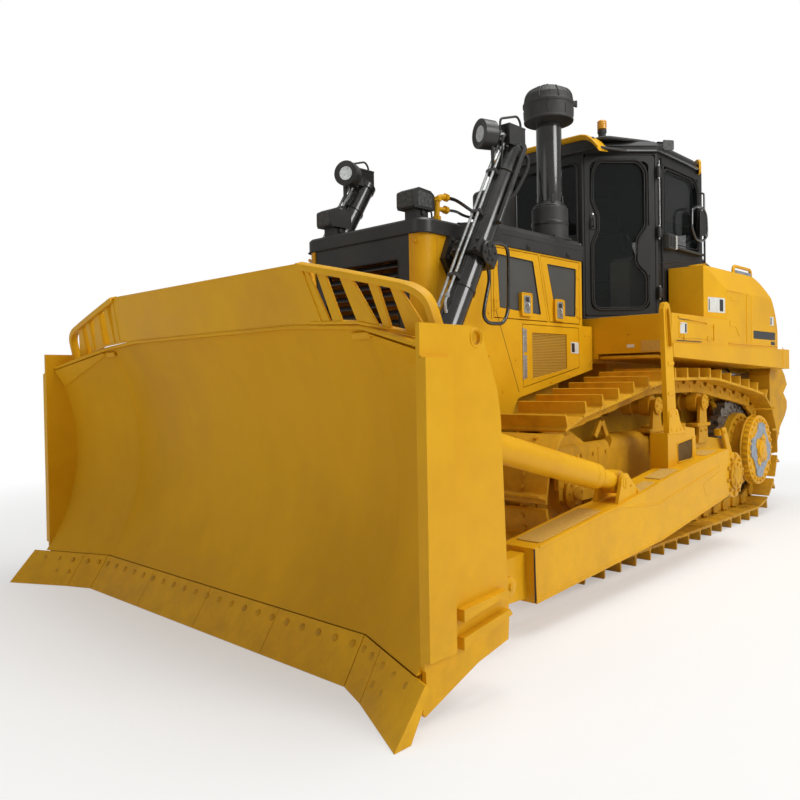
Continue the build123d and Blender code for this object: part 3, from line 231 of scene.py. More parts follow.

# yellow woven-wire grille of the lower panel: 14 mm mesh; the gaps between the wires are painted dark brown
# as the shade behind the grille
wire_grille, t, s = finish("wire_grille", "#C99522", Roughness=0.5)
where = add(t, "TexCoord").outputs["Object"]
split = add(t, "SeparateXYZ", Vector=where)
waves = []
for axis in ("Y", "Z"):
    turns = add(t, "Math", {"operation": "MULTIPLY"}, _0=split.outputs[axis],
                _1=2 * math.pi / 0.014).outputs[0]
    waves.append(add(t, "Math", {"operation": "SINE"}, _0=turns).outputs[0])
crossed = add(t, "Math", {"operation": "MAXIMUM"}, _0=waves[0], _1=waves[1]).outputs[0]
wires = add(t, "MapRange", Value=crossed, _1=0.2, _2=0.8).outputs[0]
# painted shade in the gaps, yellow on the wires
woven = add(t, "Mix", {"data_type": "RGBA"}, Factor=wires, _6=linear("#6B4E12"), _7=linear("#D9A42C"))
t.links.new(woven.outputs[2], s.inputs["Base Color"])
knots = add(t, "Bump", Height=wires, Distance=0.003, Strength=0.8)
t.links.new(knots.outputs[0], s.inputs["Normal"])

# tinted toughened glass: dark grey-green, sharp reflections
cab_tint = coat("cab_tint", "#1A1D1C", [(0.3, "#151817"), (0.7, "#1F2322")], 1.2,
                Roughness=0.03, Transmission_Weight=0.0, IOR=1.5, Alpha=0.42)
cab_tint.surface_render_method = "BLENDED"

# clear lamp glass over a bright reflector
lamp_glass = coat("lamp_glass", "#C9CCCB", [(0.3, "#AEB2B1"), (0.7, "#DADDDC")], 40.0, bump=(120.0, 0.002),
                  Metallic=0.6, Roughness=0.12, Coat_Weight=1.0)

# smoked lens of the work lamps: dark grey, bumped by the ribs behind it, with lighter grey mottling as
# painted highlights for their sparkle
smoked_lens = coat("smoked_lens", "#4A4C4A", [(0.3, "#383A38"), (0.7, "#5E605D")], 45.0,
                   bump=(140.0, 0.0015), Roughness=0.35, Specular_IOR_Level=0.15)

# painted shade: the unlit inside of the box section, its yellow paint drawn dark brown
shaded_brown = coat("shaded_brown", "#5C4310", [(0.3, "#4A350C"), (0.7, "#6E5014")], 9.0,
                    bump=(60.0, 0.001), Roughness=0.8)

# amber polycarbonate
amber = coat("amber", "#EDA820", [(0.3, "#E59A14"), (0.7, "#F4B42C")], 20.0,
             Roughness=0.15, Transmission_Weight=0.15, IOR=1.58)

# woven seat cloth, 1.5 mm threads drawn at 3 mm
seat_weave = coat("seat_weave", "#3B3C40", [(0.35, "#303135"), (0.65, "#47484C")], 330.0,
                  bump=(330.0, 0.001), Roughness=0.9, Sheen_Weight=0.3)

# mid-grey moulded dashboard plastic, drawn light grey as painted light for the dim inside of the cab
dash_grey_brightened = coat("dash_grey_brightened", "#C0C1B8", [(0.3, "#B6B7AE"), (0.7, "#CACBC2")], 6.0, bump=(500.0, 0.0006),
                 Roughness=0.6)

# blank vinyl plates
vinyl_white = coat("vinyl_white", "#DADAD3", [(0.3, "#D0D0C8"), (0.7, "#E2E2DC")], 12.0, Roughness=0.35)
vinyl_black = coat("vinyl_black", "#2A2A2B", [(0.3, "#242425"), (0.7, "#333334")], 12.0, Roughness=0.35)

# blue-grey primer left in the hub recess
primer_grey = coat("primer_grey", "#8E97A3", [(0.3, "#79838F"), (0.7, "#A3ABB4")], 22.0,
                   bump=(200.0, 0.0008), Roughness=0.55)

# sanded anti-slip coating: 2 mm grit drawn at 5 mm
grit = coat("grit", "#CFA648", [(0.35, "#B58A34"), (0.6, "#D3A84A"), (0.85, "#E2BE70")], 190.0,
            bump=(190.0, 0.003), Roughness=0.85)

# pale studio floor: matt paint near the machine, plain white further out and for mirror images
floor_paint, t, s = finish("floor_paint", "#F2F2F0", Roughness=0.9)
light_path = add(t, "LightPath")
direct = add(t, "Math", {"operation": "MAXIMUM"}, _0=light_path.outputs["Is Camera Ray"],
             _1=light_path.outputs["Is Glossy Ray"]).outputs[0]
seen = add(t, "Math", {"operation": "MAXIMUM"}, _0=direct,
           _1=light_path.outputs["Is Transmission Ray"]).outputs[0]
floor_at = add(t, "TexCoord").outputs["Object"]
far = add(t, "VectorMath", {"operation": "LENGTH"}, Vector=floor_at).outputs["Value"]
fade = add(t, "MapRange", Value=far, _1=3.5, _2=9.0, _3=0.35, _4=1.0).outputs[0]
share = add(t, "Math", {"operation": "MULTIPLY"}, _0=seen, _1=fade).outputs[0]
white = add(t, "Emission", Color=linear("#FFFFFF"), Strength=1.0).outputs[0]
pick = add(t, "MixShader", Fac=share, _1=s.outputs[0], _2=white).outputs[0]
t.links.new(pick, t.nodes["Material Output"].inputs["Surface"])

world = bpy.data.worlds.new("studio")
bpy.context.scene.world = world
world.use_nodes = True
wt = world.node_tree
sky = wt.nodes["Background"]
path_kind = add(wt, "LightPath")
direct = add(wt, "Math", {"operation": "MAXIMUM"}, _0=path_kind.outputs["Is Camera Ray"],
             _1=path_kind.outputs["Is Transmission Ray"]).outputs[0]
level = add(wt, "MapRange", Value=direct, _1=0.0, _2=1.0, _3=0.38, _4=1.0).outputs[0]
sky.inputs["Color"].default_value = linear("#FFFFFF")
wt.links.new(level, sky.inputs["Strength"])

# ---------------------------------------------------------------- surfaces
X, Y, Z = np.eye(3)


def unit(v):
    """Vector, or rows of vectors, brought to length one."""
    v = np.asarray(v, float)
    return v / np.linalg.norm(v, axis=-1, keepdims=True)


def quads(rows, count, closed=True):
    """Faces between rows of count points each; a closed row joins its last point to its first."""
    i = np.arange(rows - 1)[:, None] * count
    j = np.arange(count if closed else count - 1)[None, :]
    k = (j + 1) % count
    return np.stack([i + j, i + k, i + count + k, i + count + j], -1).reshape(-1, 4).tolist()


def skin(rows):
    """Closed rows of points (m, n, 3) skinned with quads and closed by a flat face at each end."""
    m, n = rows.shape[:2]
    ends = [list(range(n))[::-1], list(range((m - 1) * n, m * n))]
    return rows.reshape(-1, 3), quads(m, n) + ends


def rounded(points, radius, steps=4):
    """Closed outline whose corners are blended by parabolas.

    Each parabola starts radius before its corner, though never beyond about half of the side.
    """
    p = np.asarray(points, float)
    before, after = np.roll(p, 1, 0) - p, np.roll(p, -1, 0) - p
    reach_b = np.minimum(radius, 0.48 * np.linalg.norm(before, axis=1, keepdims=True))
    reach_a = np.minimum(radius, 0.48 * np.linalg.norm(after, axis=1, keepdims=True))
    a, b = p + unit(before) * reach_b, p + unit(after) * reach_a
    w = np.linspace(0, 1, steps + 1)[None, :, None]
    arcs = (1 - w) ** 2 * a[:, None] + 2 * w * (1 - w) * p[:, None] + w ** 2 * b[:, None]
    return arcs.reshape(-1, p.shape[1])


def oblong(u0, u1, v0, v1, corner=0.006, steps=2):
    """Rounded rectangle."""
    return rounded([(u0, v0), (u1, v0), (u1, v1), (u0, v1)], corner, steps)


def on_plane(x, outline):
    """Outline (y, z) as points at one x."""
    return np.column_stack([np.full(len(outline), x), outline])


def inset(outline, distance):
    """Outline moved inwards along the mean of the normals at each corner."""
    outline = np.asarray(outline, float)
    ahead, behind = unit(np.roll(outline, -1, 0) - outline), unit(outline - np.roll(outline, 1, 0))
    area = np.sum(outline[:, 0] * np.roll(outline[:, 1], -1) - outline[:, 1] * np.roll(outline[:, 0], -1))
    tangent = unit(ahead + behind)
    normal = np.stack([-tangent[:, 1], tangent[:, 0]], -1) * np.sign(area)
    spread = np.clip(np.sum(ahead * tangent, 1), 0.5, 1)[:, None]
    return outline + normal * distance / spread


def slab(outline, origin, u, v, depth, edge=0.004):
    """Outline (in u and v from origin) carried along u x v to depth, both rims rounded by edge."""
    outline = np.asarray(outline, float)
    w = np.cross(u, v)
    inner = inset(outline, edge)
    rows = [(inner, 0.0), (outline, edge), (outline, depth - edge), (inner, depth)]
    flat = [np.asarray(origin) + o[:, :1] * u + o[:, 1:] * v + d * w for o, d in rows]
    return skin(np.stack(flat))


def block(low, high, edge=0.006):
    """Straight block with rounded arrises."""
    low, high = np.asarray(low, float), np.asarray(high, float)
    size = high - low
    corners = np.array([(0, 0), (1, 0), (1, 1), (0, 1)]) * size[:2]
    return slab(rounded(corners, edge, 2), low, X, Y, size[2], min(edge, size[2] / 3) * 0.8)


def arc_path(points, radius, steps=6):
    """Open path whose inner corners are bent to about radius."""
    p = np.asarray(points, float)
    bends = rounded(p, radius, steps).reshape(len(p), steps + 1, 3)[1:-1].reshape(-1, 3)
    return np.concatenate([p[:1], bends, p[-1:]])


def flowing(points, steps=8):
    """Catmull-Rom curve through the points: each span blends its four nearest points cubically."""
    p = np.asarray(points, float)
    p = np.concatenate([2 * p[:1] - p[1:2], p, 2 * p[-1:] - p[-2:-1]])
    w = np.linspace(0, 1, steps, endpoint=False)[None, :, None]
    a, b, c, d = (p[i:len(p) - 3 + i][:, None] for i in range(4))
    curve = 0.5 * (2 * b + (c - a) * w + (2 * a - 5 * b + 4 * c - d) * w ** 2 + (
        3 * b - a - 3 * c + d) * w ** 3)
    return np.concatenate([curve.reshape(-1, 3), p[-2:-1]])


def tube(path, radius, sides=12):
    """Circle of a radius (one, or one for each point) carried along a path."""
    p = np.asarray(path, float)
    tangent = unit(np.gradient(p, axis=0))
    spread = np.linalg.svd(p - p.mean(0))[2][2]
    side = np.cross(tangent, spread)
    slack = np.linalg.norm(side, axis=1) < 0.2  # where the path runs nearly along spread
    side[slack] = np.cross(tangent[slack], unit(spread + 0.7 * X + 0.3 * Z))
    side = unit(side)
    up = np.cross(side, tangent)
    turn = np.linspace(0, 2 * np.pi, sides, endpoint=False)[None, :, None]
    r = np.broadcast_to(np.asarray(radius, float), len(p))[:, None, None]
    return skin(p[:, None] + r * (np.cos(turn) * side[:, None] + np.sin(turn) * up[:, None]))


def hoop(loop, radius, sides=8):
    """Tube along a closed loop of points, so that it meets itself."""
    return tube(np.concatenate([loop, loop[:2]]), radius, sides)


def ring_tube(points, radius, corner=0.03, sides=8):
    """Tube that follows a closed outline, whose corners are rounded first."""
    return hoop(rounded(points, corner, 4), radius, sides)


def bent(points, bend, radius, sides=12):
    """Tube along straight runs whose corners are bent to about bend."""
    return tube(arc_path(points, bend), radius, sides)


def turned(profile, centre, axis, sides=32):
    """Profile of (distance along the axis, radius) turned round the axis."""
    profile = np.asarray(profile, float)
    axis = unit(axis)
    side = unit(np.cross(axis, X if abs(axis[0]) < 0.9 else Z))
    up = np.cross(axis, side)
    turn = np.linspace(0, 2 * np.pi, sides, endpoint=False)[None, :, None]
    rim = np.cos(turn) * side + np.sin(turn) * up
    along = profile[:, 0, None, None] * axis
    return skin(np.asarray(centre) + along + np.maximum(profile[:, 1, None, None], 1e-4) * rim)


def solid(profile, centre, axis, sides=32):
    """Profile of (distance along the axis, radius) turned and closed flat at both ends."""
    return turned([(profile[0][0], 0), *profile, (profile[-1][0], 0)], centre, axis, sides)


def drum(radius, length, centre, axis, sides=32):
    """Plain round bar that starts at the centre."""
    return solid([(0, radius), (length, radius)], centre, axis, sides)


def heading(angle):
    """Level direction at an angle from X."""
    return np.array([math.cos(angle), math.sin(angle), 0])


def copies(shape, origins, u, v, w):
    """One shape drawn in (u, v, w) at each origin; the axes may be one for all or one for each."""
    points, faces = shape
    origins = np.atleast_2d(np.asarray(origins, float))
    axes = [np.broadcast_to(np.asarray(a, float), origins.shape)[:, None] for a in (u, v, w)]
    placed = origins[:, None] + sum(points[None, :, i:i + 1] * a for i, a in enumerate(axes))
    step = len(points)
    return placed.reshape(-1, 3), [[c + k * step for c in f] for k in range(len(origins)) for f in faces]


def mirrored(shapes):
    """The shapes on the left side, mirrored to the right."""
    return [(points * (-1, 1, 1), [f[::-1] for f in faces]) for points, faces in shapes]


def piece(name, shapes, material, body="machine", smooth=35, slot=None, stands_for=()):
    """One object from several shapes, its faces turned outwards."""
    mesh = bpy.data.meshes.new(name)
    points, faces, base = [], [], 0
    for p, f in shapes:
        points.append(p)
        faces += [[c + base for c in face] for face in f]
        base += len(p)
    mesh.from_pydata(np.concatenate(points).tolist(), [], faces)
    work = bmesh.new()
    work.from_mesh(mesh)
    bmesh.ops.remove_doubles(work, verts=work.verts, dist=1e-5)
    bmesh.ops.recalc_face_normals(work, faces=work.faces)
    work.to_mesh(mesh)
    work.free()
    mesh.materials.append(material)
    mesh.shade_smooth()
    mesh.set_sharp_from_angle(angle=math.radians(smooth))
    made = bpy.data.objects.new(name, mesh)
    bpy.context.scene.collection.objects.link(made)
    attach(made, body)
    if stands_for:
        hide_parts(*stands_for)
    return made


def pair(name, shapes, material, body="machine", **words):
    """A piece on the left and its mirror image on the right; body may hold {} for the side."""
    piece(f"{name}_left", shapes, material, body.format("left"), **words)
    piece(f"{name}_right", mirrored(shapes), material, body.format("right"), **words)


def hexagon(radius, height, washer=True):
    """Bolt head in its own axes: six sides, a chamfered top and a washer under it."""
    turn = np.linspace(0, 2 * np.pi, 6, endpoint=False)
    rim = np.stack([np.cos(turn), np.sin(turn)], -1)
    rings = [(radius, 0.0), (radius, height * 0.85), (radius * 0.85, height)]
    if washer:
        rings = [(radius * 1.25, 0.0), (radius * 1.25, height * 0.2), (radius, height * 0.2)] + rings[1:]
    return skin(np.stack([np.column_stack([rim * r, np.full(6, h)]) for r, h in rings]))


def bolts(places, normal, radius=0.018, height=0.014):
    """Bolt heads at the places, standing along the normal."""
    normal = unit(normal)
    u = unit(np.cross(normal, Z if abs(normal[2]) < 0.9 else Y))
    return copies(hexagon(radius, height), places, u, np.cross(normal, u), normal)


# ---------------------------------------------------------------- finishes of the steel solids
CAD_FINISH = {
    enamel_yellow: ["arm_left", "arm_right", "arm_bearings", "blade_back", "blade_sides", "cutting_edges",
                    "rock_guard", "radiator_guard", "engine_sides", "platform", "fuel_tank", "strut",
                    "tilt_barrel", "engine_door_front_left", "engine_door_front_right",
                    "engine_door_rear_left", "engine_door_rear_right", "engine_door_lower_left",
                    "engine_door_lower_right"],
    enamel_blade_shaded: ["moldboard"],
    enamel_cast: ["track_left", "track_right", "track_frames", "track_rollers", "idlers", "final_drives",
                  "main_frame", "rear_counterweight", "engine"],
    enamel_black: ["grille", "guard_cap", "hood", "yoke_brackets", "lift_yoke_left", "lift_yoke_right",
                   "muffler", "lamps"],
    cab_black_shaded: ["cab_base", "cab_body", "cab_door_left", "cab_door_right", "cab_roof"],
    gloss_black: ["lift_barrel_left", "lift_barrel_right"],
    moulded_black: ["precleaner"],
    tooth_steel: ["sprockets"],
    rod_chrome: ["lift_rod_left", "lift_rod_right", "tilt_rod"],
    cab_tint: ["cab_glass", "door_glass_left", "door_glass_right"],
    seat_weave: ["operator_seat"],
    dash_grey_brightened: ["control_consoles"],
    amber: ["beacon"],
}
for material, names in CAD_FINISH.items():
    for name in names:
        nodes[name].data.materials.clear()
        nodes[name].data.materials.append(material)

# ---------------------------------------------------------------- tracks
TRACK_X, SHOE_WIDTH, PITCH = 1.13, 0.61, 0.26
SHOE_RISE = 0.085  # shoe face over the pin line
# pulleys that the pin line runs over: y, z, radius
IDLER, SPROCKET = (-1.12, 0.69), (2.53, 0.74)
PULLEYS = np.array([(*IDLER, 0.515), (0.3, 1.3, 0.165), (1.33, 1.3, 0.165), (*SPROCKET, 0.565)])


ARC_STEPS = 90  # points on each wrapped arc of the pin line


def belt_pins():
    """Pins spaced evenly round the loop: outer tangents join the pulleys and arcs wrap them."""
    centres, radii = PULLEYS[:, :2], PULLEYS[:, 2]
    across = np.roll(centres, -1, 0) - centres
    span = np.linalg.norm(across, axis=1)
    normal = np.arctan2(across[:, 1], across[:, 0]) + np.arccos((radii - np.roll(radii, -1)) / span)
    start = np.roll(normal, 1)
    sweep = (start - normal) % (2 * np.pi)
    w = np.linspace(0, 1, ARC_STEPS)[None, :]
    angle = start[:, None] - sweep[:, None] * w
    loop = centres[:, None] + radii[:, None, None] * np.stack([np.cos(angle), np.sin(angle)], -1)
    loop = loop.reshape(-1, 2)
    loop = np.concatenate([loop, loop[:1]])
    length = np.concatenate([[0], np.cumsum(np.linalg.norm(np.diff(loop, axis=0), axis=1))])
    count = round(length[-1] / PITCH)
    at = length[-1] * np.arange(count) / count
    return np.stack([np.interp(at, length, loop[:, 0]), np.interp(at, length, loop[:, 1])], -1)


PINS = belt_pins()
CHORD = np.roll(PINS, -1, 0) - PINS
ALONG = np.column_stack([np.zeros(len(PINS)), CHORD])  # from a pin to the next, full length
OUT = np.column_stack([np.zeros(len(PINS)), unit(np.stack([-CHORD[:, 1], CHORD[:, 0]], -1))])

# section of a shoe: share of the pitch, height over the pin line; the bar is single and a little hooked
SHOE = np.array([(0.0, 0.056), (0.0, 0.072), (0.04, 0.081), (0.09, SHOE_RISE), (0.115, 0.094),
                 (0.135, 0.172), (0.15, 0.175), (0.195, 0.174), (0.215, 0.12), (0.235, 0.094),
                 (0.28, SHOE_RISE), (0.9, SHOE_RISE), (0.955, 0.078), (0.99, 0.066), (0.99, 0.055),
                 (0.93, 0.06), (0.05, 0.06)])
SHOE_STATIONS = np.array([(-0.5, 0.94), (-0.496, 1.0), (0.496, 1.0), (0.5, 0.94)])


def shoe():
    """Section carried across the shoe; the bar runs to both ends, with its corners eased."""
    rows = []
    for share, bar in SHOE_STATIONS:
        high = np.where(SHOE[:, 1] > SHOE_RISE, SHOE_RISE + (SHOE[:, 1] - SHOE_RISE) * bar, SHOE[:, 1])
        rows.append(np.column_stack([np.full(len(SHOE), share * SHOE_WIDTH), SHOE[:, 0], high]))
    return skin(np.stack(rows))


# outline of a link: share of the pitch, height; scalloped between the two shoe pads
LINK = rounded([(-0.2, -0.03), (-0.16, -0.06), (1.16, -0.06), (1.2, -0.03), (1.2, 0.028), (1.1, 0.05),
                (0.93, 0.04), (0.84, 0.06), (0.62, 0.06), (0.56, 0.02), (0.44, 0.02), (0.38, 0.06),
                (0.16, 0.06), (0.07, 0.04), (-0.1, 0.05), (-0.2, 0.028)], 0.03, 2)


def link(rail):
    """Link outline 30 mm thick; it steps outwards by 32 mm between its two pins."""
    step = 0.016 * np.tanh((LINK[:, 0] - 0.5) * 5) * np.sign(rail)
    rows = [np.column_stack([rail + step + d, LINK]) for d in (-0.015, 0.015)]
    return skin(np.stack(rows))


for side, sign in (("left", 1), ("right", -1)):
    pins3 = on_plane(sign * TRACK_X, PINS)
    plates = copies(shoe(), pins3, X, ALONG, OUT)
    heads = [copies(hexagon(0.019, 0.016), pins3 + dx * X + share * ALONG + SHOE_RISE * OUT, X,
                    unit(ALONG), OUT) for dx in (-0.1, 0.1) for share in (0.42, 0.78)]
    piece(f"track_shoes_{side}", [plates] + heads, enamel_cast, stands_for=[f"track_{side}"])
    rails = [copies(link(rail), pins3, X, ALONG, OUT) for rail in (-0.098, 0.098)]
    bushes = [copies(turned([(-w, 0), (-w, r), (w, r), (w, 0)], (0, 0, 0), X, 10), pins3, X, unit(ALONG),
                     OUT) for w, r in ((0.082, 0.034), (0.13, 0.022))]
    piece(f"track_links_{side}", rails + bushes, enamel_cast)

# ---------------------------------------------------------------- blade
def box_between(a, b, width, thick, up, edge=0.003):
    """Flat bar from a to b: width across, thickness along up."""
    a, b = np.asarray(a, float), np.asarray(b, float)
    along = b - a
    length = np.linalg.norm(along)
    u = along / length
    w = unit(np.asarray(up, float) - np.dot(up, u) * u)
    v = np.cross(w, u)
    outline = rounded([(0, -width / 2), (length, -width / 2), (length, width / 2), (0, width / 2)],
                      min(width, length) * 0.12, 2)
    return slab(outline, a - w * thick / 2, u, v, thick, edge)


def wing_shift(x):
    """Forward run of the blade's wings beyond the bends."""
    return -0.42 * np.maximum(0, np.abs(x) - 1.46)


ARC_Y, ARC_Z, ARC_R = -4.588, 1.0529, 1.3882  # circle of the moldboard's face


def face_y(z, x=0.0):
    """Where the face of the moldboard stands at a height."""
    return ARC_Y + np.sqrt(ARC_R ** 2 - (np.asarray(z) - ARC_Z) ** 2) + wing_shift(x)


def crest(x):
    """Height of the blade's top edge."""
    return np.interp(np.abs(x), [0, 0.92, 1.46, 2.05], [1.89, 1.89, 1.858, 1.722])


def seam(x, z0, z1, width=0.016, lift=0.006):
    """Weld bead on the moldboard: an arch across (x) swept up the curved face."""
    z = np.linspace(z0, z1, 40)
    y = face_y(z, x)
    arch = np.linspace(0, np.pi, 7)
    rows = np.stack(
        [np.column_stack([x - np.cos(arch) * width / 2, np.full(7, a) - np.sin(arch) * lift + 0.003,
                          np.full(7, b)]) for a, b in zip(y, z)])
    return skin(rows)


# weld seams up the two bends, and two finer ones nearer the middle
seams = [seam(s * 1.46, 0.245, 1.8) for s in (-1, 1)]
seams += [seam(s * 0.52, 0.245, 1.84, 0.008, 0.0035) for s in (-1, 1)]
piece("moldboard_seams", seams, enamel_blade_shaded, "blade")

# rounded lip along the front of the top flange, and the small joint plates at the bends
lip_x = np.array([-2.05, -1.46, -0.92, 0.92, 1.46, 2.05])
lip_y = np.array([-3.612, -3.462, -3.49, -3.49, -3.462, -3.612])
lip_path = np.column_stack([lip_x, lip_y, crest(lip_x) - 0.012])
lip_edge = tube(lip_path, 0.0135, 10)
tabs = [slab(oblong(-0.07, 0.07, -0.02, 0.02, 0.008),
             (s * 1.43, face_y(1.8, 1.43) - 0.012, 1.806), X, unit([0, -0.35, 1]), 0.016) for s in (-1, 1)]
# folded corner patches under the ends of the flange
patches = []
for s in (-1, 1):
    low_z = np.array([crest(1.5) - 0.045, crest(2.04) - 0.165])
    ends = np.array([1.5, 2.04])
    upper = np.column_stack([s * ends, face_y(crest(ends) - 0.035, ends) - 0.03, crest(ends) - 0.035])
    lower = np.column_stack([s * ends, face_y(low_z, ends) - 0.006, low_z])
    back = lower + (0, 0.02, 0)
    high = upper + (0, 0.03, 0)
    patches.append(skin(np.stack([np.stack([upper[i], lower[i], back[i], high[i]]) for i in (0, 1)])))
piece("moldboard_lip", [lip_edge] + tabs + patches, enamel_yellow, "blade")

# bolts of the cutting edges: domed plough-bolt heads in one row across, then two on each wing segment
# and seven on each end bit
EDGE_NORMAL = unit([0, -0.835, 0.549])
EDGE_UP = unit([0, 0.549, 0.835])
dome = solid([(-0.002, 0.021), (0.003, 0.0205), (0.007, 0.014), (0.0085, 0.006)], (0, 0, 0), Z, 14)


def edge_point(x, up):
    """Point on the front of the cutting edge, a distance up its slope from the ground."""
    return np.array([x, -3.63 + wing_shift(x), 0.0]) + EDGE_UP * up


row = [edge_point(x, 0.215) for x in np.linspace(-1.4, 1.4, 21)]
for s in (-1, 1):
    row += [edge_point(s * x, 0.215) for x in (1.515, 1.615, 1.75, 1.88, 2.01)]
    row += [edge_point(s * x, 0.115) for x in (1.73, 1.84, 1.95, 2.06)]
piece("edge_bolts", [copies(dome, row, X, np.cross(EDGE_NORMAL, X), EDGE_NORMAL)], enamel_cast, "blade")

# rock guard: folded plate in the middle, leaning ribs at each side under a sloping rail
LEAN = math.atan2(90, 320)
GUARD_UP = np.array([0, -math.sin(LEAN), math.cos(LEAN)])
GUARD_OUT = np.array([0, -math.cos(LEAN), -math.sin(LEAN)])
GUARD_AT = np.array([0, -3.48, 1.85])


def on_guard(x, v, out=0.0):
    """Point on the rock guard: x across, v up its lean, out forwards from its face."""
    return GUARD_AT + x * X + v * GUARD_UP + out * GUARD_OUT


def rib(foot0, foot1, top0, top1, fold):
    """Rib of the guard: foot and top edges as (x, height up the plate), one long side folded back."""
    outline = np.array([foot0, foot1, top1, top0], float)
    plate_shape = slab(rounded(outline, 0.006, 2), on_guard(0, 0, -0.016), X, GUARD_UP, 0.016, 0.004)
    back = np.array([on_guard(*top0), on_guard(*foot0)])
    along = unit(back[1] - back[0])
    back = back - GUARD_OUT * (fold / 2 + 0.01)
    flange = box_between(back[0], back[1], fold, 0.012, np.cross(along, GUARD_OUT))
    return [plate_shape, flange]


RAIL = [(1.12, 0.352), (1.4, 0.283), (1.682, 0.216), (1.86, 0.168)]


def rail_v(x):
    """Height up the guard at which the ribs meet the sloping rail."""
    return float(np.interp(x, [a for a, b in RAIL], [b for a, b in RAIL])) - 0.012


def foot_v(x):
    """Height up the guard at which the ribs stand on the blade's top edge."""
    return float(np.interp(x, [0, 0.92, 1.46, 1.95, 2.05], [0.045, 0.045, 0.014, -0.096, -0.12])) + 0.002


RIBS = [(1.11, 1.245, 1.122, 1.15, 0.055), (1.262, 1.338, 1.215, 1.285, 0.05),
        (1.45, 1.607, 1.385, 1.48, 0.055),
        (1.632, 1.69, 1.585, 1.655, 0.05), (1.785, 1.945, 1.73, 1.8, 0.055)]
guard_half = []
for foot0, foot1, top0, top1, fold in RIBS:
    guard_half += rib((foot0, foot_v(foot0)), (foot1, foot_v(foot1)), (top0, rail_v(top0)),
                      (top1, rail_v(top1)), fold)
# sloping rail: an angle whose outer end turns down to the end of the blade
rail_path = np.array([on_guard(x, v, -0.006)
                      for x, v in [(1.085, 0.36), (1.4, 0.286), (1.7, 0.212), (1.88, 0.165),
                                   (1.965, 0.105), (1.985, -0.02), (1.99, -0.1)]])
rail_path = arc_path(rail_path, 0.05, 4)
band = oblong(-0.019, 0.019, -0.03, 0.03, 0.006)
tangent = unit(np.gradient(rail_path, axis=0))
across = unit(np.cross(tangent, GUARD_OUT))
rail_rows = rail_path[:, None] + band[None, :, :1] * across[:, None] + band[None, :, 1:] * GUARD_OUT
guard_half.append(skin(rail_rows))
# foot strip that the ribs are welded to
foot_path = np.array([on_guard(x, foot_v(x) + 0.004, -0.01) for x in (1.09, 1.46, 1.97)])
foot_rows = foot_path[:, None] + band[None, :, :1] * 0.45 * GUARD_UP + band[None, :, 1:] * 0.6 * GUARD_OUT
guard_half.append(skin(foot_rows))
middle = [(-1.172, foot_v(1.17)), (1.172, foot_v(1.17)), (1.095, 0.352), (1.05, 0.368), (-1.05, 0.368),
          (-1.095, 0.352)]
guard_middle = slab(rounded(middle, 0.012, 2), on_guard(0, 0, -0.016), X, GUARD_UP, 0.018, 0.004)
guard_top = box_between(on_guard(-1.085, 0.366, -0.022), on_guard(1.085, 0.366, -0.022), 0.05, 0.014,
                        GUARD_UP)
folded = [box_between(on_guard(s * 1.168, foot_v(1.17), -0.008), on_guard(s * 1.1, 0.352, -0.008),
                      0.024, 0.03, GUARD_OUT) for s in (-1, 1)]
piece("rock_guard_ribs", [guard_middle, guard_top] + folded + guard_half + mirrored(guard_half),
      enamel_yellow, "blade", stands_for=["rock_guard"])

# weld beads of the side plates, and the joint line of the doubler
side_marks = []
for s in (1, -1):
    side_marks.append(tube([(s * 2.076, -3.498, 0.3), (s * 2.076, -3.498, 1.66)], 0.007, 8))
    side_marks.append(tube([(s * 2.078, -3.69, 1.668), (s * 2.078, -3.5, 1.668)], 0.006, 8))
    ring = np.linspace(0, 2 * np.pi, 24, endpoint=False)
    hole = np.column_stack([np.full(24, s * 2.0755), -3.28 + 0.046 * np.cos(ring),
                            1.765 + 0.046 * np.sin(ring)])
    side_marks.append(tube(arc_path(np.concatenate([hole, hole[:1]]), 0.005, 1), 0.0045, 6))
piece("blade_side_welds", side_marks, enamel_yellow, "blade")


# ---------------------------------------------------------------- lift cylinders
LIFT_T = np.array([0.88, -1.762, 2.48])
LIFT_EYE = np.array([0.93, -2.84, 0.7])
DOWN = unit(LIFT_EYE - LIFT_T)
SIDE = unit(X - np.dot(X, DOWN) * DOWN)
FORE = np.cross(DOWN, SIDE)  # square to the barrel, forwards and up


def on_barrel(down, side=0.0, fore=0.0):
    """Point by the left lift barrel: down from its trunnion, aside, and forwards of its axis."""
    return LIFT_T + down * DOWN + side * SIDE + fore * FORE


def ring_bolts(centre, axis, radius, count, size=0.012, height=0.01, start=0.0):
    """Bolt heads spaced evenly round a circle, facing along the axis."""
    axis = unit(axis)
    u = unit(np.cross(axis, Z if abs(axis[2]) < 0.9 else X))
    v = np.cross(axis, u)
    turn = start + np.linspace(0, 2 * np.pi, count, endpoint=False)[:, None]
    places = np.asarray(centre) + radius * (np.cos(turn) * u + np.sin(turn) * v)
    return copies(hexagon(size, height), places, u, v, axis)


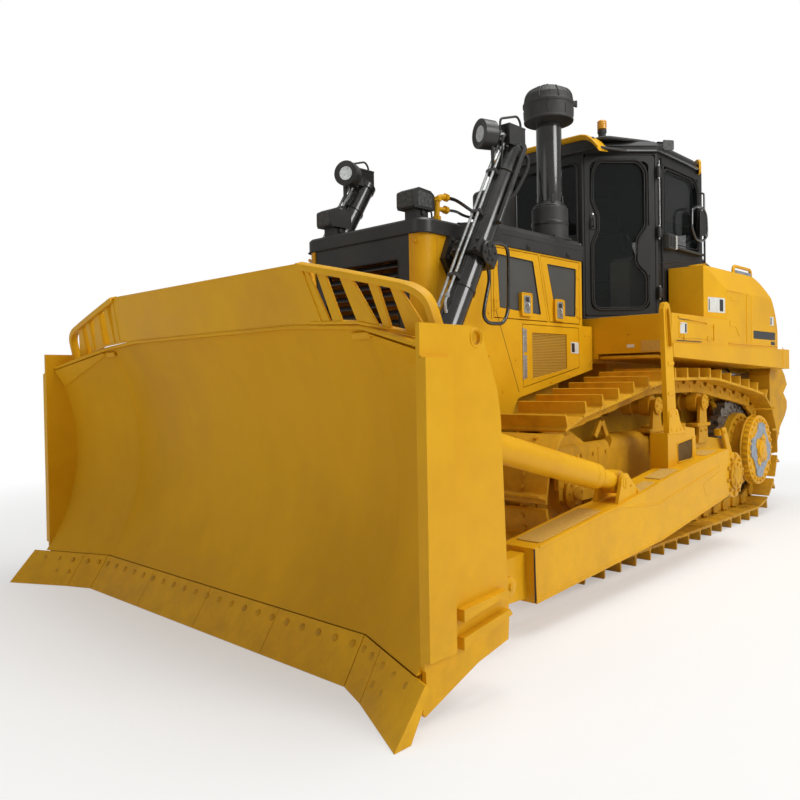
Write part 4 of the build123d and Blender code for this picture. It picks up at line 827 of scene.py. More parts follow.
collars = [turned([(-0.03, 0), (-0.03, 0.098), (-0.022, 0.106), (0.03, 0.106), (0.036, 0.098),
                   (0.036, 0.093), (0.03, 0)],
                  on_barrel(-1.055), DOWN, 32),
           turned([(0, 0.094), (0.004, 0.104), (0.022, 0.104), (0.026, 0.094)], on_barrel(-0.78), DOWN, 32),
           turned([(0, 0.094), (0.004, 0.103), (0.03, 0.103), (0.034, 0.094)], on_barrel(0.3), DOWN, 32),
           turned([(0, 0.057), (0, 0.1), (0.008, 0.104), (0.02, 0.104), (0.026, 0.086), (0.034, 0.06),
                   (0.034, 0.057)], on_barrel(0.781), DOWN, 32),
           ring_bolts(on_barrel(0.803), DOWN, 0.094, 10, 0.008, 0.01)]
pair("lift_barrel_collars", collars, gloss_black, "lift_barrel_{}")
pipes = []
for offset, stop in ((-0.03, 0.6), (0.024, 0.52)):
    run = [on_barrel(-0.99, offset, 0.088), on_barrel(-0.98, offset, 0.139), on_barrel(stop, offset, 0.139),
           on_barrel(stop + 0.06, offset, 0.088)]
    pipes.append(bent(run, 0.03, 0.0105, 10))
nuts = [drum(0.018, 0.03, on_barrel(d, o, 0.139), DOWN, 6)
        for o, d in ((-0.03, -0.93), (0.024, -0.93), (-0.03, 0.53), (0.024, 0.45))]
pair("lift_barrel_pipes", pipes + nuts, zinc, "lift_barrel_{}")
clips = [box_between(on_barrel(d, -0.045, 0.121), on_barrel(d, 0.042, 0.121), 0.03, 0.06, FORE)
         for d in (-0.7, -0.3, 0.28)]
pair("lift_barrel_clips", clips, gloss_black, "lift_barrel_{}")

HEAD = on_barrel(-1.08)
LAMP_WAY = unit([-0.38, -0.925, 0])
LAMP_AT = HEAD + (-0.047, -0.226, 0.045)
lamp_shell = [turned([(-0.05, 0), (-0.045, 0.05), (-0.02, 0.085), (0.0, 0.1105), (0.095, 0.1135),
                      (0.112, 0.1135), (0.116, 0.108), (0.112, 0.1), (0.1, 0.0)], LAMP_AT, LAMP_WAY, 36)]
box_low, box_high = HEAD + (-0.084, -0.174, -0.034), HEAD + (0.084, 0.044, 0.124)
lamp_shell += [block((box_low[0], box_low[1], box_high[2] - 0.012),
                     (box_high[0], box_high[1], box_high[2] + 0.006), 0.006),
               bolts([HEAD + (a, b, 0.129) for a in (-0.06, 0.06) for b in (-0.14, 0.015)], Z, 0.009,
                     0.007)]
# the hoop over the lamp, then the two stays that run down to the barrel
for offsets, foot, bend, radius in (
        ([(0.02, -0.215, 0.045), (0.02, -0.205, 0.165), (0.02, 0.02, 0.235), (0.02, 0.065, 0.19)],
         HEAD + (0.02, 0.06, 0.06), 0.03, 0.0095),
        ([(-0.02, -0.18, 0.02), (-0.02, -0.262, 0.01), (-0.012, -0.266, -0.18)],
         on_barrel(-0.7, -0.01, 0.099), 0.04, 0.014),
        ([(0.05, -0.18, 0.04), (0.05, -0.225, 0.0), (0.047, -0.226, -0.13)],
         on_barrel(-0.76, 0.04, 0.091), 0.04, 0.008)):
    lamp_shell.append(bent([*(HEAD + np.array(offsets)), foot], bend, radius, 10))
pair("cylinder_lamp_shells", lamp_shell, enamel_black, "lift_barrel_{}")
pair("cylinder_lamp_glass", [turned([(0.098, 0), (0.098, 0.099), (0.104, 0.099), (0.1075, 0.06),
                                     (0.109, 0)], LAMP_AT, LAMP_WAY, 36)], lamp_glass, "lift_barrel_{}")
# hose elbows at the back of the barrel's head
elbow = [on_barrel(*at) for at in ((-0.96, 0.085, -0.02), (-0.96, 0.135, -0.04), (-0.86, 0.15, -0.07),
                                   (-0.62, 0.125, -0.06), (-0.52, 0.088, -0.03))]
hose = [tube(flowing(elbow), 0.015, 10), drum(0.024, 0.04, on_barrel(-0.96, 0.08, -0.02), SIDE, 6)]
pair("lift_barrel_hoses", hose, rubber, "lift_barrel_{}")

# yoke: trunnion caps, cheek plates and its bent pipe loop
yoke_parts = [
    solid([(0, 0.082), (0.006, 0.086), (0.02, 0.086), (0.026, 0.08), (0.026, 0.03), (0.034, 0.026)],
          LIFT_T + X * 0.123, X, 28),
    ring_bolts(LIFT_T + X * 0.149, X, 0.058, 6, 0.011, 0.009),
    bolts([on_barrel(d, s, 0.121) for d in (-0.036, 0.036) for s in (-0.098, 0.098)], FORE, 0.014, 0.012),
    box_between(on_barrel(-0.062, -0.112, 0.108), on_barrel(-0.062, 0.112, 0.108), 0.024, 0.006, DOWN)]
pair("lift_yoke_caps", yoke_parts, enamel_black, "lift_yoke_{}")
loop = np.array([(0.905, -1.606, 2.574), (0.905, -1.5, 2.6), (0.905, -1.385, 2.585), (0.905, -1.372, 2.48),
                 (0.905, -1.385, 2.08), (0.905, -1.45, 1.985), (0.905, -1.64, 1.98), (0.905, -1.7, 2.03),
                 (0.905, -1.68, 2.12), (0.905, -1.612, 2.32), (0.905, -1.645, 2.43)])
pair("lift_yoke_loops", [bent(loop, 0.06, 0.0145, 12)], gloss_black, "lift_yoke_{}")

# hexagonal bracket on the guard: bolts and a raised centre
bracket = [bolts([(0.71, y, z) for y, z in ((-1.862, 2.47), (-1.8, 2.605), (-1.684, 2.605), (-1.615, 2.48),
                                            (-1.68, 2.362),
                                            (-1.796, 2.362))], X, 0.018, 0.016),
           solid([(0, 0.082), (0.004, 0.086), (0.016, 0.086), (0.02, 0.08)], (0.7095, -1.762, 2.48), X, 28)]
pair("yoke_bracket_bolts", bracket, enamel_black)

# ---------------------------------------------------------------- engine bay doors
OUT_X = 0.65


def sheet_x(outline, x, thick, edge=0.001):
    """Flat plate on a side of the machine: (y, z) outline from x outwards."""
    return slab(outline, (x, 0, 0), Y, Z, thick, edge)


WINDOWS = {"front": [(-1.145, 2.15), (-1.175, 2.585), (-0.655, 2.575), (-0.542, 2.12)],
           "rear": [(-0.3, 2.13), (-0.436, 2.575), (0.05, 2.575), (0.03, 2.13)],
           "lower": [(-0.69, 1.555), (-0.69, 1.965), (-0.12, 1.965), (-0.12, 1.64)]}
LATCH = {"front": (-0.7875, 2.194), "rear": (-0.27, 2.1725)}
HINGES = {"front": (-1.224, (2.17, 2.53)), "rear": (0.099, (2.17, 2.53)), "lower": (-0.824, (1.665, 1.888))}
for which, window in WINDOWS.items():
    body = "engine_door_" + which + "_{}"
    panel = sheet_x(inset(window, 0.003), OUT_X - 0.0125, 0.004)
    pair(f"engine_door_{which}_mesh", [panel], wire_grille if which == "lower" else mesh_sheet, body)
    trim = hoop(rounded(on_plane(OUT_X - 0.003, inset(window, 0.002)), 0.02, 3), 0.0045, 6)
    hinge_y, heights = HINGES[which]
    knuckles = []
    for z in heights:
        length = 0.115 if which == "lower" else 0.055
        tall = length / 3 * 1.9 - 0.002
        for k in (-1, 0, 1):
            knuckles.append(solid([(0, 0.007), (0.002, 0.009), (tall - 0.002, 0.009), (tall, 0.007)],
                                  (OUT_X + 0.002, hinge_y, z + (k - 0.5) * length * 0.64), Z, 12))
        away = 1 if which != "rear" else -1
        knuckles.append(box_between((OUT_X + 0.002, hinge_y, z), (OUT_X + 0.002, hinge_y + away * 0.055, z),
                                    length * 1.7, 0.004, X))
        knuckles.append(bolts([(OUT_X + 0.003, hinge_y + away * 0.036, z + dz) for dz in (-0.03, 0.03)], X,
                              0.007, 0.005))
    pair(f"engine_door_{which}_hinges", knuckles, enamel_yellow if which != "lower" else zinc, body)
    pair(f"engine_door_{which}_trim", [trim], rubber if which != "lower" else enamel_yellow, body)
    if which in LATCH:
        y, z = LATCH[which]
        shape = oblong(-0.048, 0.048, -0.075, 0.075, 0.012, 3)
        face = [sheet_x(shape + (y, z), OUT_X + 0.0235, 0.004, 0.0012)]
        face += [bolts([(OUT_X + 0.0275, y + a, z + b) for a in (-0.037, 0.037) for b in (-0.063, 0.063)],
                       X, 0.005, 0.003)]
        lever = [(OUT_X + 0.0275, y, z - 0.045), (OUT_X + 0.045, y, z - 0.04), (OUT_X + 0.045, y, z),
                 (OUT_X + 0.0275, y, z + 0.008)]
        face.append(bent(lever, 0.01, 0.007, 8))
        pair(f"engine_door_{which}_latch", face, zinc, body)
        slot = oblong(-0.026, 0.026, -0.02, 0.02, 0.008, 3)
        pair(f"engine_door_{which}_latch_slot",
             [sheet_x(slot + (y, z + 0.04), OUT_X + 0.0272, 0.0012, 0.0004)], vinyl_black, body)
        around = on_plane(OUT_X + 0.0235, oblong(-0.077, 0.077, -0.098, 0.094, 0.02, 3) + (y, z))
        pair(f"engine_door_{which}_latch_rim", [hoop(around, 0.0045, 6)], enamel_yellow, body)
plates = [sheet_x(rounded([(-0.055, 1.792), (0.08, 1.786), (0.08, 1.892), (-0.055, 1.896)], 0.006, 2),
                  OUT_X - 0.0005, 0.0022, 0.0006)]
pair("engine_door_lower_plate", plates, vinyl_white, "engine_door_lower_{}")
inner = [sheet_x(rounded([(-0.045, 1.802), (0.01, 1.8), (0.01, 1.882), (-0.045, 1.884)], 0.004, 2),
                 OUT_X + 0.0013, 0.001, 0.0003)]
pair("engine_door_lower_plate_field", inner, vinyl_black, "engine_door_lower_{}")

# seams, screws and the return plate of the side panels
panel_lines = [tube([(OUT_X + 0.0002, -1.236, 2.204), (OUT_X + 0.0002, -0.891, 1.452)], 0.0022, 6),
               tube([(OUT_X + 0.0002, -1.262, 2.05), (OUT_X + 0.0002, -1.262, 2.64)], 0.0022, 6)]
pair("side_panel_seams", panel_lines, rubber)
screws = [bolts([(OUT_X, y, z)
                 for y, z in ((-1.3, 2.62), (-1.3, 2.1), (-1.3, 1.75), (-0.93, 1.72), (-1.12, 1.46),
                              (0.125, 2.6), (0.125, 2.12), (0.2, 1.96), (0.28, 1.96), (0.28, 1.7),
                              (-0.1, 1.585), (-0.4, 1.53))], X, 0.01, 0.006)]
pair("side_panel_screws", screws, enamel_yellow)
hood_seal = [tube([(0.653, -1.62, 2.66), (0.653, 0.165, 2.66)], 0.007, 8)]
hood_marks = [box_between((0.6505, -1.1, 2.755), (0.6505, 0.1, 2.755), 0.004, 0.002, X)]
hood_marks += [bent([(0.52, 0.172, 2.845), (0.6, 0.172, 2.846), (0.646, 0.172, 2.805),
                     (0.646, 0.172, 2.67)], 0.03, 0.006, 8)]
pair("hood_seals", hood_seal, rubber)
pair("hood_trims", hood_marks, gloss_black)
hood_catch = []
for y in (-1.35, -0.72, -0.08):
    hood_catch.append(sheet_x(oblong(y - 0.028, y + 0.028, 2.668, 2.712, 0.006), 0.6495, 0.008, 0.002))
    hood_catch.append(bent([(0.657, y - 0.016, 2.69), (0.668, y - 0.016, 2.678), (0.668, y + 0.016, 2.678),
                            (0.657, y + 0.016, 2.69)], 0.006, 0.0035, 6))
pair("hood_catches", hood_catch, enamel_black)

# ---------------------------------------------------------------- nose
guard_screws = []
for s in (-1, 1):
    guard_screws.append(bolts([(s * 0.6, -2.1005, z) for z in (1.3, 1.75, 2.2, 2.58)], -Y, 0.013, 0.01))
    guard_screws.append(tube([(s * 0.541, -2.098, 1.25), (s * 0.541, -2.098, 2.64)], 0.005, 6))
piece("guard_screws", guard_screws, enamel_yellow)
cap_line = arc_path([(0.672, -1.66, 2.646), (0.672, -2.098, 2.646), (-0.672, -2.098, 2.646),
                     (-0.672, -1.66, 2.646)], 0.1, 6)
louvre_rim = rounded([(-0.412, -2.087, 1.318), (0.412, -2.087, 1.318), (0.412, -2.087, 2.472),
                      (-0.412, -2.087, 2.472)], 0.02, 3)
piece("cap_seal", [tube(cap_line, 0.006, 8), hoop(louvre_rim, 0.006, 6)], rubber)
side_fold = [tube([(0.661, -1.925, 1.3), (0.661, -1.925, 2.64)], 0.006, 8)]
pair("guard_side_folds", side_fold, enamel_yellow)

# header lamps: bezels, glass and brackets
lamp_frames, lamp_faces = [], []
face = oblong(-0.078, 0.078, -0.058, 0.045, 0.014, 3)
lamp_frames.append(slab(oblong(-0.089, 0.089, -0.068, 0.055, 0.018, 3),
                        (0.465, -2.049, 2.918), X, Z, 0.012, 0.003))
lamp_faces.append(slab(face, (0.465, -2.06, 2.918), X, Z, 0.005, 0.002))
lamp_faces.append(sheet_x(rounded([(-2.02, 2.862), (-1.858, 2.862), (-1.858, 2.962), (-1.99, 2.976),
                                   (-2.02, 2.95)], 0.012, 3), 0.5545, 0.004, 0.0015))
lamp_frames += [bolts([(0.465 + a, -1.935, 2.9995) for a in (-0.05, 0.05)], Z, 0.009, 0.006),
                drum(0.018, 0.15, (0.39, -1.935, 2.822), X, 12)]
pair("header_lamp_frames", lamp_frames, moulded_black)
pair("header_lamp_glass", lamp_faces, smoked_lens)
cable = flowing([(0.46, -1.8, 2.87), (0.46, -1.76, 2.86), (0.44, -1.73, 2.81), (0.42, -1.7, 2.757)])
pair("header_lamp_cables", [tube(cable, 0.007, 8)], rubber)

# yellow filler elbow and the two pipes that run back over the hood
filler = arc_path([(0.5, -1.8, 2.75), (0.548, -1.8, 2.77), (0.56, -1.8, 2.96), (0.57, -1.7, 2.965)], 0.05)
unions = [drum(0.032, 0.03, p, v, 6) for p, v in (((0.56, -1.8, 2.925), Z), ((0.568, -1.725, 2.965), Y),
                                                  ((0.572, -1.735, 2.868), Y), ((0.552, -1.8, 2.78), Z))]
piece("hood_pipe_elbow",
      [tube(filler, 0.022, 12), tube([(0.56, -1.8, 2.865), (0.566, -1.76, 2.867), (0.575, -1.72, 2.868)],
                                     0.018, 12)] + unions, enamel_yellow)
run_a = flowing([(0.57, -1.695, 2.965), (0.585, -1.6, 2.955), (0.6, -1.45, 2.905), (0.6, -1.3, 2.866),
                 (0.6, -1.1, 2.862)])
run_b = flowing([(0.575, -1.705, 2.868), (0.582, -1.6, 2.87), (0.56, -1.45, 2.86), (0.56, -1.1, 2.862)])
clamps = [box_between((0.545, y, 2.862), (0.615, y, 2.862), 0.02, 0.026, Z) for y in (-1.12, -1.32)]
piece("hood_pipes", [tube(run_a, 0.0135, 10), tube(run_b, 0.011, 10)] + clamps, gloss_black)

# ---------------------------------------------------------------- cab
DOOR_AT = np.array([0.45, 0.52, 0.0])
DOOR_U = unit([0.53, 0.555, 0.0])
DOOR_OUT = np.array([DOOR_U[1], -DOOR_U[0], 0.0])


def on_door(u, z, out=0.0):
    """Point on the left door: u along it from the front post, z up, out from its outer face."""
    return DOOR_AT + u * DOOR_U + z * Z + out * DOOR_OUT


def door_plate(outline, out, thick, edge=0.002):
    """Flat plate on the door: (u, z) outline from out outwards."""
    return slab(outline, DOOR_AT + out * DOOR_OUT, DOOR_U, Z, thick, edge)


# the door's window narrows at the lock in front and at the rear post
WINDOW = [(0.096, 3.6), (0.15, 3.722), (0.57, 3.722), (0.655, 3.62), (0.655, 3.06), (0.56, 2.93),
          (0.552, 2.7), (0.66, 2.59), (0.664, 2.3), (0.6, 2.236), (0.14, 2.236), (0.088, 2.3),
          (0.088, 2.9), (0.15, 3.02), (0.15, 3.18), (0.092, 3.3)]
window = np.array([on_door(u, z, 0.005) for u, z in WINDOW])
pair("door_window_seal", [ring_tube(window, 0.0105, 0.05)], rubber, "cab_door_{}")
inner = np.array([on_door(u, z, 0.002) for u, z in inset(rounded(WINDOW, 0.05, 3), 0.022)])
pair("door_window_bead", [hoop(inner, 0.005, 6)], moulded_black, "cab_door_{}")
gussets = [door_plate([(0.07, 3.34), (0.094, 3.295), (0.15, 3.18), (0.15, 3.02), (0.09, 2.9), (0.07, 2.86)],
                      -0.038, 0.041),
           door_plate([(0.69, 3.1), (0.655, 3.06), (0.56, 2.93), (0.552, 2.7), (0.66, 2.59), (0.69, 2.56)],
                      -0.038, 0.041)]
pair("door_gussets", gussets, cab_black_shaded, "cab_door_{}")
# handle, lock and grab bar of the door; its three hinges on the rear post
lock = [door_plate(oblong(0.078, 0.128, 3.035, 3.165, 0.012, 3), 0.003, 0.012, 0.004),
        bent([on_door(0.103, 3.06, 0.013), on_door(0.103, 3.06, 0.042), on_door(0.103, 3.14, 0.042),
              on_door(0.103, 3.14, 0.013)], 0.012, 0.008, 10)]
pair("door_locks", lock, moulded_black, "cab_door_{}")
knobs = [solid([(0, 0.012), (0.008, 0.012), (0.01, 0.009)], on_door(0.103, 3.185, 0.003), DOOR_OUT, 16)]
pair("door_lock_barrels", knobs, zinc, "cab_door_{}")
grab = arc_path([on_door(0.6, 2.64, -0.03), on_door(0.6, 2.64, -0.07), on_door(0.47, 3.0, -0.07),
                 on_door(0.47, 3.0, -0.03)], 0.04)
pair("door_grab_bars", [tube(grab, 0.011, 10)], gloss_black, "cab_door_{}")
hinge_parts, hinge_pins = [], []
for z in (3.6, 3.0, 2.4):
    hinge_parts.append(solid([(-0.055, 0.017), (-0.05, 0.02), (0.05, 0.02), (0.055, 0.017)],
                             (1.0, 1.06, z), Z, 16))
    hinge_parts.append(block((0.979, 1.07, z - 0.045), (0.992, 1.15, z + 0.045), 0.004))
    hinge_parts.append(bolts([(0.992, 1.12, z + dz) for dz in (-0.024, 0.024)], X, 0.01, 0.007))
    hinge_pins.append(solid([(-0.07, 0.009), (0.07, 0.009)], (1.0, 1.06, z), Z, 12))
pair("cab_hinges", hinge_parts, enamel_black)
pair("cab_hinge_pins", hinge_pins, zinc)
strip = [tube([(0.988, 1.155, 2.26), (0.988, 1.155, 3.76)], 0.009, 8)]
pair("cab_post_rubbers", strip, rubber)
# gutter, roof hatch, small roof fittings
GUTTER_Z = 3.806
roof_edge = [(-0.47, 0.498, GUTTER_Z), (0.47, 0.498, GUTTER_Z), (1.004, 1.068, GUTTER_Z),
             (1.004, 2.052, GUTTER_Z), (0.862, 2.194, GUTTER_Z),
             (-0.862, 2.194, GUTTER_Z), (-1.004, 2.052, GUTTER_Z), (-1.004, 1.068, GUTTER_Z)]
gutter = rounded(roof_edge, 0.04, 3)
piece("cab_gutter", [hoop(gutter, 0.0125, 8)], gloss_black)
swage = rounded(np.array(roof_edge) * (0.985, 0.995, 1) + (0, 0.006, 0.052), 0.04, 3)
piece("roof_swage", [hoop(swage, 0.011, 8)], cab_black_shaded)
roof_top = [slab(rounded([(-0.66, 0.62), (0.66, 0.62), (0.9, 1.12), (0.9, 1.36), (-0.9, 1.36),
                          (-0.9, 1.12)], 0.08, 4), (0, 0, 3.916), X, Y, 0.03, 0.01),
            block((0.56, 0.9, 3.94), (0.66, 1.0, 3.985), 0.01),
            block((0.5, 1.02, 3.94), (0.74, 1.09, 3.965), 0.01)]
piece("roof_fittings", roof_top, moulded_black)
vents = [block((-0.62, 1.56 + 0.075 * k, 3.948), (0.62, 1.6 + 0.075 * k, 3.962), 0.005) for k in range(7)]
piece("roof_vents", vents, moulded_black)
# yellow peak of the roof: an arched band that is highest a little inside each front corner
across = np.linspace(-0.668, 0.668, 57)
ridge = np.interp(np.abs(across), [0.0, 0.47, 0.54, 0.6, 0.668], [3.958, 3.956, 3.94, 3.892, 3.812])
band = np.array([(0.462, -0.046), (0.452, -0.036), (0.45, -0.008), (0.462, 0.002), (0.64, 0.008),
                 (0.65, -0.004), (0.65, -0.03), (0.49, -0.05)])
visor = np.stack([np.column_stack([np.full(len(band), x), band[:, 0], high + band[:, 1]])
                  for x, high in zip(across, ridge)])
piece("roof_visor", [skin(visor)], enamel_yellow, smooth=50)
tray = [slab(rounded([(-0.655, 0.475), (0.655, 0.475), (0.8, 0.86), (-0.8, 0.86)], 0.03, 3), (0, 0, 3.793),
             X, Y, 0.024, 0.006), block((-0.6, 0.488, 3.812), (0.6, 0.52, 3.915), 0.006)]
piece("roof_visor_tray", tray, moulded_black)
corner = [slab(rounded([(0, 0), (0.185, 0), (0.185, 0.13), (0.15, 0.165), (0, 0.165)], 0.02, 3),
               (0.88, 2.172, 3.765), unit([0.7, -0.7, 0]), Z, -0.016, 0.004)]
pair("roof_corner_trims", corner, enamel_yellow)
# roof lamp on the left and right edges, with its bracket
lamp_face = oblong(-0.075, 0.075, -0.062, 0.062, 0.018, 3)
way, level = unit([0.82, -0.57, 0.0]), unit([0.57, 0.82, 0.0])
at = np.array([1.0, 1.25, 3.895])
shells = [slab(lamp_face, at - 0.075 * way, level, Z, -0.11, 0.014),
          box_between(at + (-0.02, 0.02, -0.07), at + (-0.04, 0.03, -0.115), 0.06, 0.012, X),
          box_between((0.955, 1.19, 3.8), (0.955, 1.33, 3.8), 0.02, 0.05, Z)]
pair("roof_lamp_shells", shells, moulded_black)
pair("roof_lamp_glass", [slab(lamp_face * 0.8, at + 0.035 * way, level, Z, -0.004, 0.0015)], smoked_lens)
# beacon: dark base, collar and the ribs of its lens
BEACON = (0.525, 0.8)
base = [solid([(0.0, 0.062), (0.01, 0.062), (0.03, 0.04), (0.1, 0.037), (0.118, 0.046), (0.14, 0.046)],
              (*BEACON, 3.918), Z, 28)]
piece("beacon_base", base, moulded_black, slot="black_paint")
ribs = [solid([(0, 0.0465), (0.004, 0.0475), (0.008, 0.0465)], (*BEACON, z), Z, 28)
        for z in (4.072, 4.094, 4.116, 4.138)]
piece("beacon_ribs", ribs, amber)
# windscreen and rear side windows: seals, wiper, lining behind the upper glass
screens = [ring_tube([(-0.395, 0.514, 2.29), (0.395, 0.514, 2.29), (0.395, 0.514, 3.705),
                      (-0.395, 0.514, 3.705)], 0.012, 0.07)]
rear = np.array([(-0.825, 2.176, 2.915), (0.825, 2.176, 2.915), (0.825, 2.176, 3.705),
                 (-0.825, 2.176, 3.705)])
screens.append(ring_tube(rear, 0.012, 0.07))
piece("screen_seals", screens, rubber)
side_window = np.array([(0.985, 1.18, 2.895), (0.985, 2.065, 2.895), (0.985, 2.065, 3.6),
                        (0.985, 1.96, 3.702), (0.985, 1.18, 3.702)])
pair("side_window_seals", [ring_tube(side_window, 0.012, 0.07),
                           ring_tube(side_window + (0.003, 0, 0) +
                                     0.035 * np.array([(0, 1, 1), (0, -1, 1), (0, -1, -1), (0, -1, -1),
                                                       (0, 1, -1)]),
                                     0.006, 0.06)], rubber)
wiper = [tube([(0.3, 0.498, 2.33), (0.1, 0.48, 2.9)], 0.008, 8),
         box_between((0.165, 0.488, 2.7), (0.035, 0.488, 3.1), 0.01, 0.024, Y),
         solid([(0, 0.024), (0.03, 0.024), (0.034, 0.018)], (0.3, 0.52, 2.33), -Y, 16)]
piece("screen_wiper", wiper, moulded_black)
lining = [block((-0.86, 2.095, 3.13), (0.86, 2.11, 3.76), 0.005)]
lining += [block((x, 1.15, 3.18), (x + 0.015, 2.08, 3.76), 0.005) for x in (-0.92, 0.905)]
lining.append(slab(rounded([(-0.4, 0.6), (0.4, 0.6), (0.89, 1.12), (0.89, 2.08), (-0.89, 2.08),
                            (-0.89, 1.12)], 0.05, 3), (0, 0, 3.715), X, Y, 0.04, 0.01))
piece("cab_lining", lining, moulded_black, slot="black_paint")
# box lamp, belt rail and mirror on the rear side panel of the cab
side_box = [block((0.986, 1.15, 2.842), (1.062, 1.31, 2.996), 0.01)]
side_box += [block((1.062, 1.166 + 0.036 * k, 2.868), (1.068, 1.186 + 0.036 * k, 2.97), 0.003)
             for k in range(4)]
side_box.append(box_between((0.992, 1.3, 2.88), (0.992, 2.08, 2.88), 0.026, 0.09, X))
pair("cab_side_boxes", side_box, moulded_black)
pair("cab_side_box_edges", [block((1.02, 1.312, 2.85), (1.066, 1.334, 2.99), 0.003)], vinyl_white,
     slot="black_paint")
rail = np.array([(1.05, 1.74, 3.32), (1.05, 1.88, 3.378), (1.05, 2.03, 3.38), (1.05, 2.115, 3.32),
                 (1.05, 2.135, 3.09), (1.05, 2.0, 3.015), (1.05, 1.83, 3.015), (1.05, 1.73, 3.12)])
mirror_stay = [ring_tube(rail, 0.013, 0.05, 10), tube([(0.981, 1.9, 3.379), (1.05, 1.9, 3.379)], 0.01, 10),
               tube([(0.981, 1.9, 3.015), (1.05, 1.9, 3.015)], 0.01, 10),
               bent([(0.984, 2.1, 3.56), (1.03, 2.11, 3.56), (1.03, 2.11, 2.72), (0.984, 2.1, 2.72)], 0.03,
                    0.011, 10)]
pair("cab_rails", mirror_stay, gloss_black)
mirror_back = [sheet_x(rounded([(1.935, 3.05), (2.105, 3.11), (2.09, 3.305), (2.02, 3.35), (1.945, 3.35)],
                               0.03, 4), 1.04, 0.018, 0.005)]
pair("cab_mirrors", mirror_back, cab_black_shaded)
pair("cab_post_strips", [tube([(0.992, 1.09, 3.72), (0.992, 1.095, 3.06)], 0.0065, 8)], zinc)
# steps and seams low on the cab: sill plate, skirt seam, belt line
sill = [door_plate([(0.03, 2.14), (0.74, 2.14), (0.74, 2.166), (0.03, 2.166)], 0.001, 0.012),
        tube([(0.984, 1.085, 2.172), (0.984, 2.165, 2.172)], 0.007, 8),
        tube([(0.984, 1.11, 2.7), (0.984, 2.165, 2.835)], 0.006, 8)]
pair("cab_sills", sill, enamel_black)
hump = rounded([(2.3, 2.86), (2.44, 2.85), (2.64, 2.8), (2.665, 2.66), (2.3, 2.66)], 0.03, 3)
piece("cab_rear_box", [slab(hump, (-0.93, 0, 0), Y, Z, 1.86, 0.02)], moulded_black)
rear_lips = [box_between((-0.97, 2.348, 2.7), (0.97, 2.348, 2.7), 0.01, 0.03, Y),
             block((-1.0, 2.2, 2.656), (1.0, 2.35, 2.676), 0.006)]
piece("cab_rear_lips", rear_lips, moulded_black)

# seat: padded cushions on a dark pan, armrests with levers; grey dash panels
pan = [block((-0.235, 1.37, 2.166), (0.235, 1.83, 2.3), 0.03),
       block((-0.265, 1.345, 2.3), (0.265, 1.88, 2.5), 0.03),
       box_between((0.0, 1.9, 2.56), (0.0, 1.972, 3.2), 0.5, 0.03, Y)]
piece("seat_shell", pan, moulded_black, slot="black_paint", stands_for=["operator_seat"])


def cushion(centre, half, lean=0.0, edge=0.42):
    """Crowned cushion: a superellipsoid, each direction's cosine and sine raised to the power edge."""
    def power(v):
        """Signed power, which squares off a sine or a cosine."""
        return np.sign(v) * np.abs(v) ** edge

    tilt = np.linspace(-np.pi / 2 + 0.02, np.pi / 2 - 0.02, 36)[:, None]
    turn = np.linspace(0, 2 * np.pi, 64, endpoint=False)[None, :]
    x, y = power(np.cos(tilt)) * power(np.cos(turn)), power(np.cos(tilt)) * power(np.sin(turn))
    z = np.broadcast_to(power(np.sin(tilt)), x.shape)
    rows = np.stack([x, y, z], -1) * half
    rows[..., 1] += lean * rows[..., 2]
    return skin(rows + centre)


pads = [("seat_squab", cushion((0, 1.585, 2.56), (0.258, 0.235, 0.088))),
        ("seat_backrest", cushion((0, 1.85, 2.93), (0.252, 0.062, 0.3), lean=0.11)),
        ("seat_headrest", cushion((0, 1.905, 3.33), (0.14, 0.045, 0.085), lean=0.08))]
for name, shape in pads:
    piece(name, [shape], seat_weave, slot="seat_cloth", smooth=60)
levers = []
for s in (-1, 1):
    levers.append(box_between((s * 0.52, 1.2, 2.85), (s * 0.52, 1.7, 2.85), 0.1, 0.05, Z))
    levers.append(tube(flowing([(s * 0.52, 1.24, 2.86), (s * 0.52, 1.2, 2.97), (s * 0.515, 1.185, 3.03)]),
                       0.012, 10))
    levers.append(turned([(0, 0), (0.006, 0.02), (0.03, 0.028), (0.055, 0.02), (0.062, 0)],
                         (s * 0.515, 1.185, 3.02), Z, 16))
levers.append(box_between((0, 0.835, 2.62), (0, 0.835, 3.0), 0.46, 0.02, Y))
levers.append(block((-0.055, 1.905, 3.23), (0.055, 1.925, 3.3), 0.008))
piece("cab_controls", levers, moulded_black, slot="black_paint")
dials = [solid([(0, 0.04), (0.006, 0.044), (0.01, 0.04)], (x, 0.846, 2.86), Y, 20)
         for x in (-0.14, -0.045, 0.05, 0.145)]
piece("dash_dials", dials, vinyl_white, slot="black_paint")

# ---------------------------------------------------------------- stack and muffler
STACK = np.array([0.42, -0.02, 2.85])
sleeve = [turned([(0.368, 0.1), (0.368, 0.1165), (0.376, 0.1182), (1.096, 0.1182), (1.104, 0.1165),
                  (1.104, 0.1)], STACK, Z, 40)]
piece("stack_sleeve", sleeve, gloss_black)
collars = [turned([(0.3, 0.1), (0.3, 0.152), (0.306, 0.158), (0.322, 0.158), (0.33, 0.15), (0.33, 0.1)],
                  STACK, Z, 36),
           turned([(-0.005, 0.1), (-0.005, 0.196), (0.002, 0.2), (0.014, 0.2), (0.02, 0.192), (0.02, 0.1)],
                  STACK, Z, 36),
           turned([(0.14, 0.1), (0.14, 0.172), (0.146, 0.176), (0.17, 0.176), (0.176, 0.172), (0.176, 0.1)],
                  STACK, Z, 36),
           ring_bolts(STACK + (0, 0, 0.33), Z, 0.136, 8, 0.011, 0.012),
           ring_bolts(STACK + (0, 0, 0.02), Z, 0.183, 8, 0.012, 0.01)]
prongs = [box_between(STACK + 0.126 * way + (0, 0, 0.33), STACK + 0.122 * way + (0, 0, 0.42), 0.03, 0.01,
                      way) for way in map(heading, np.arange(6) * math.pi / 3 + 0.3)]
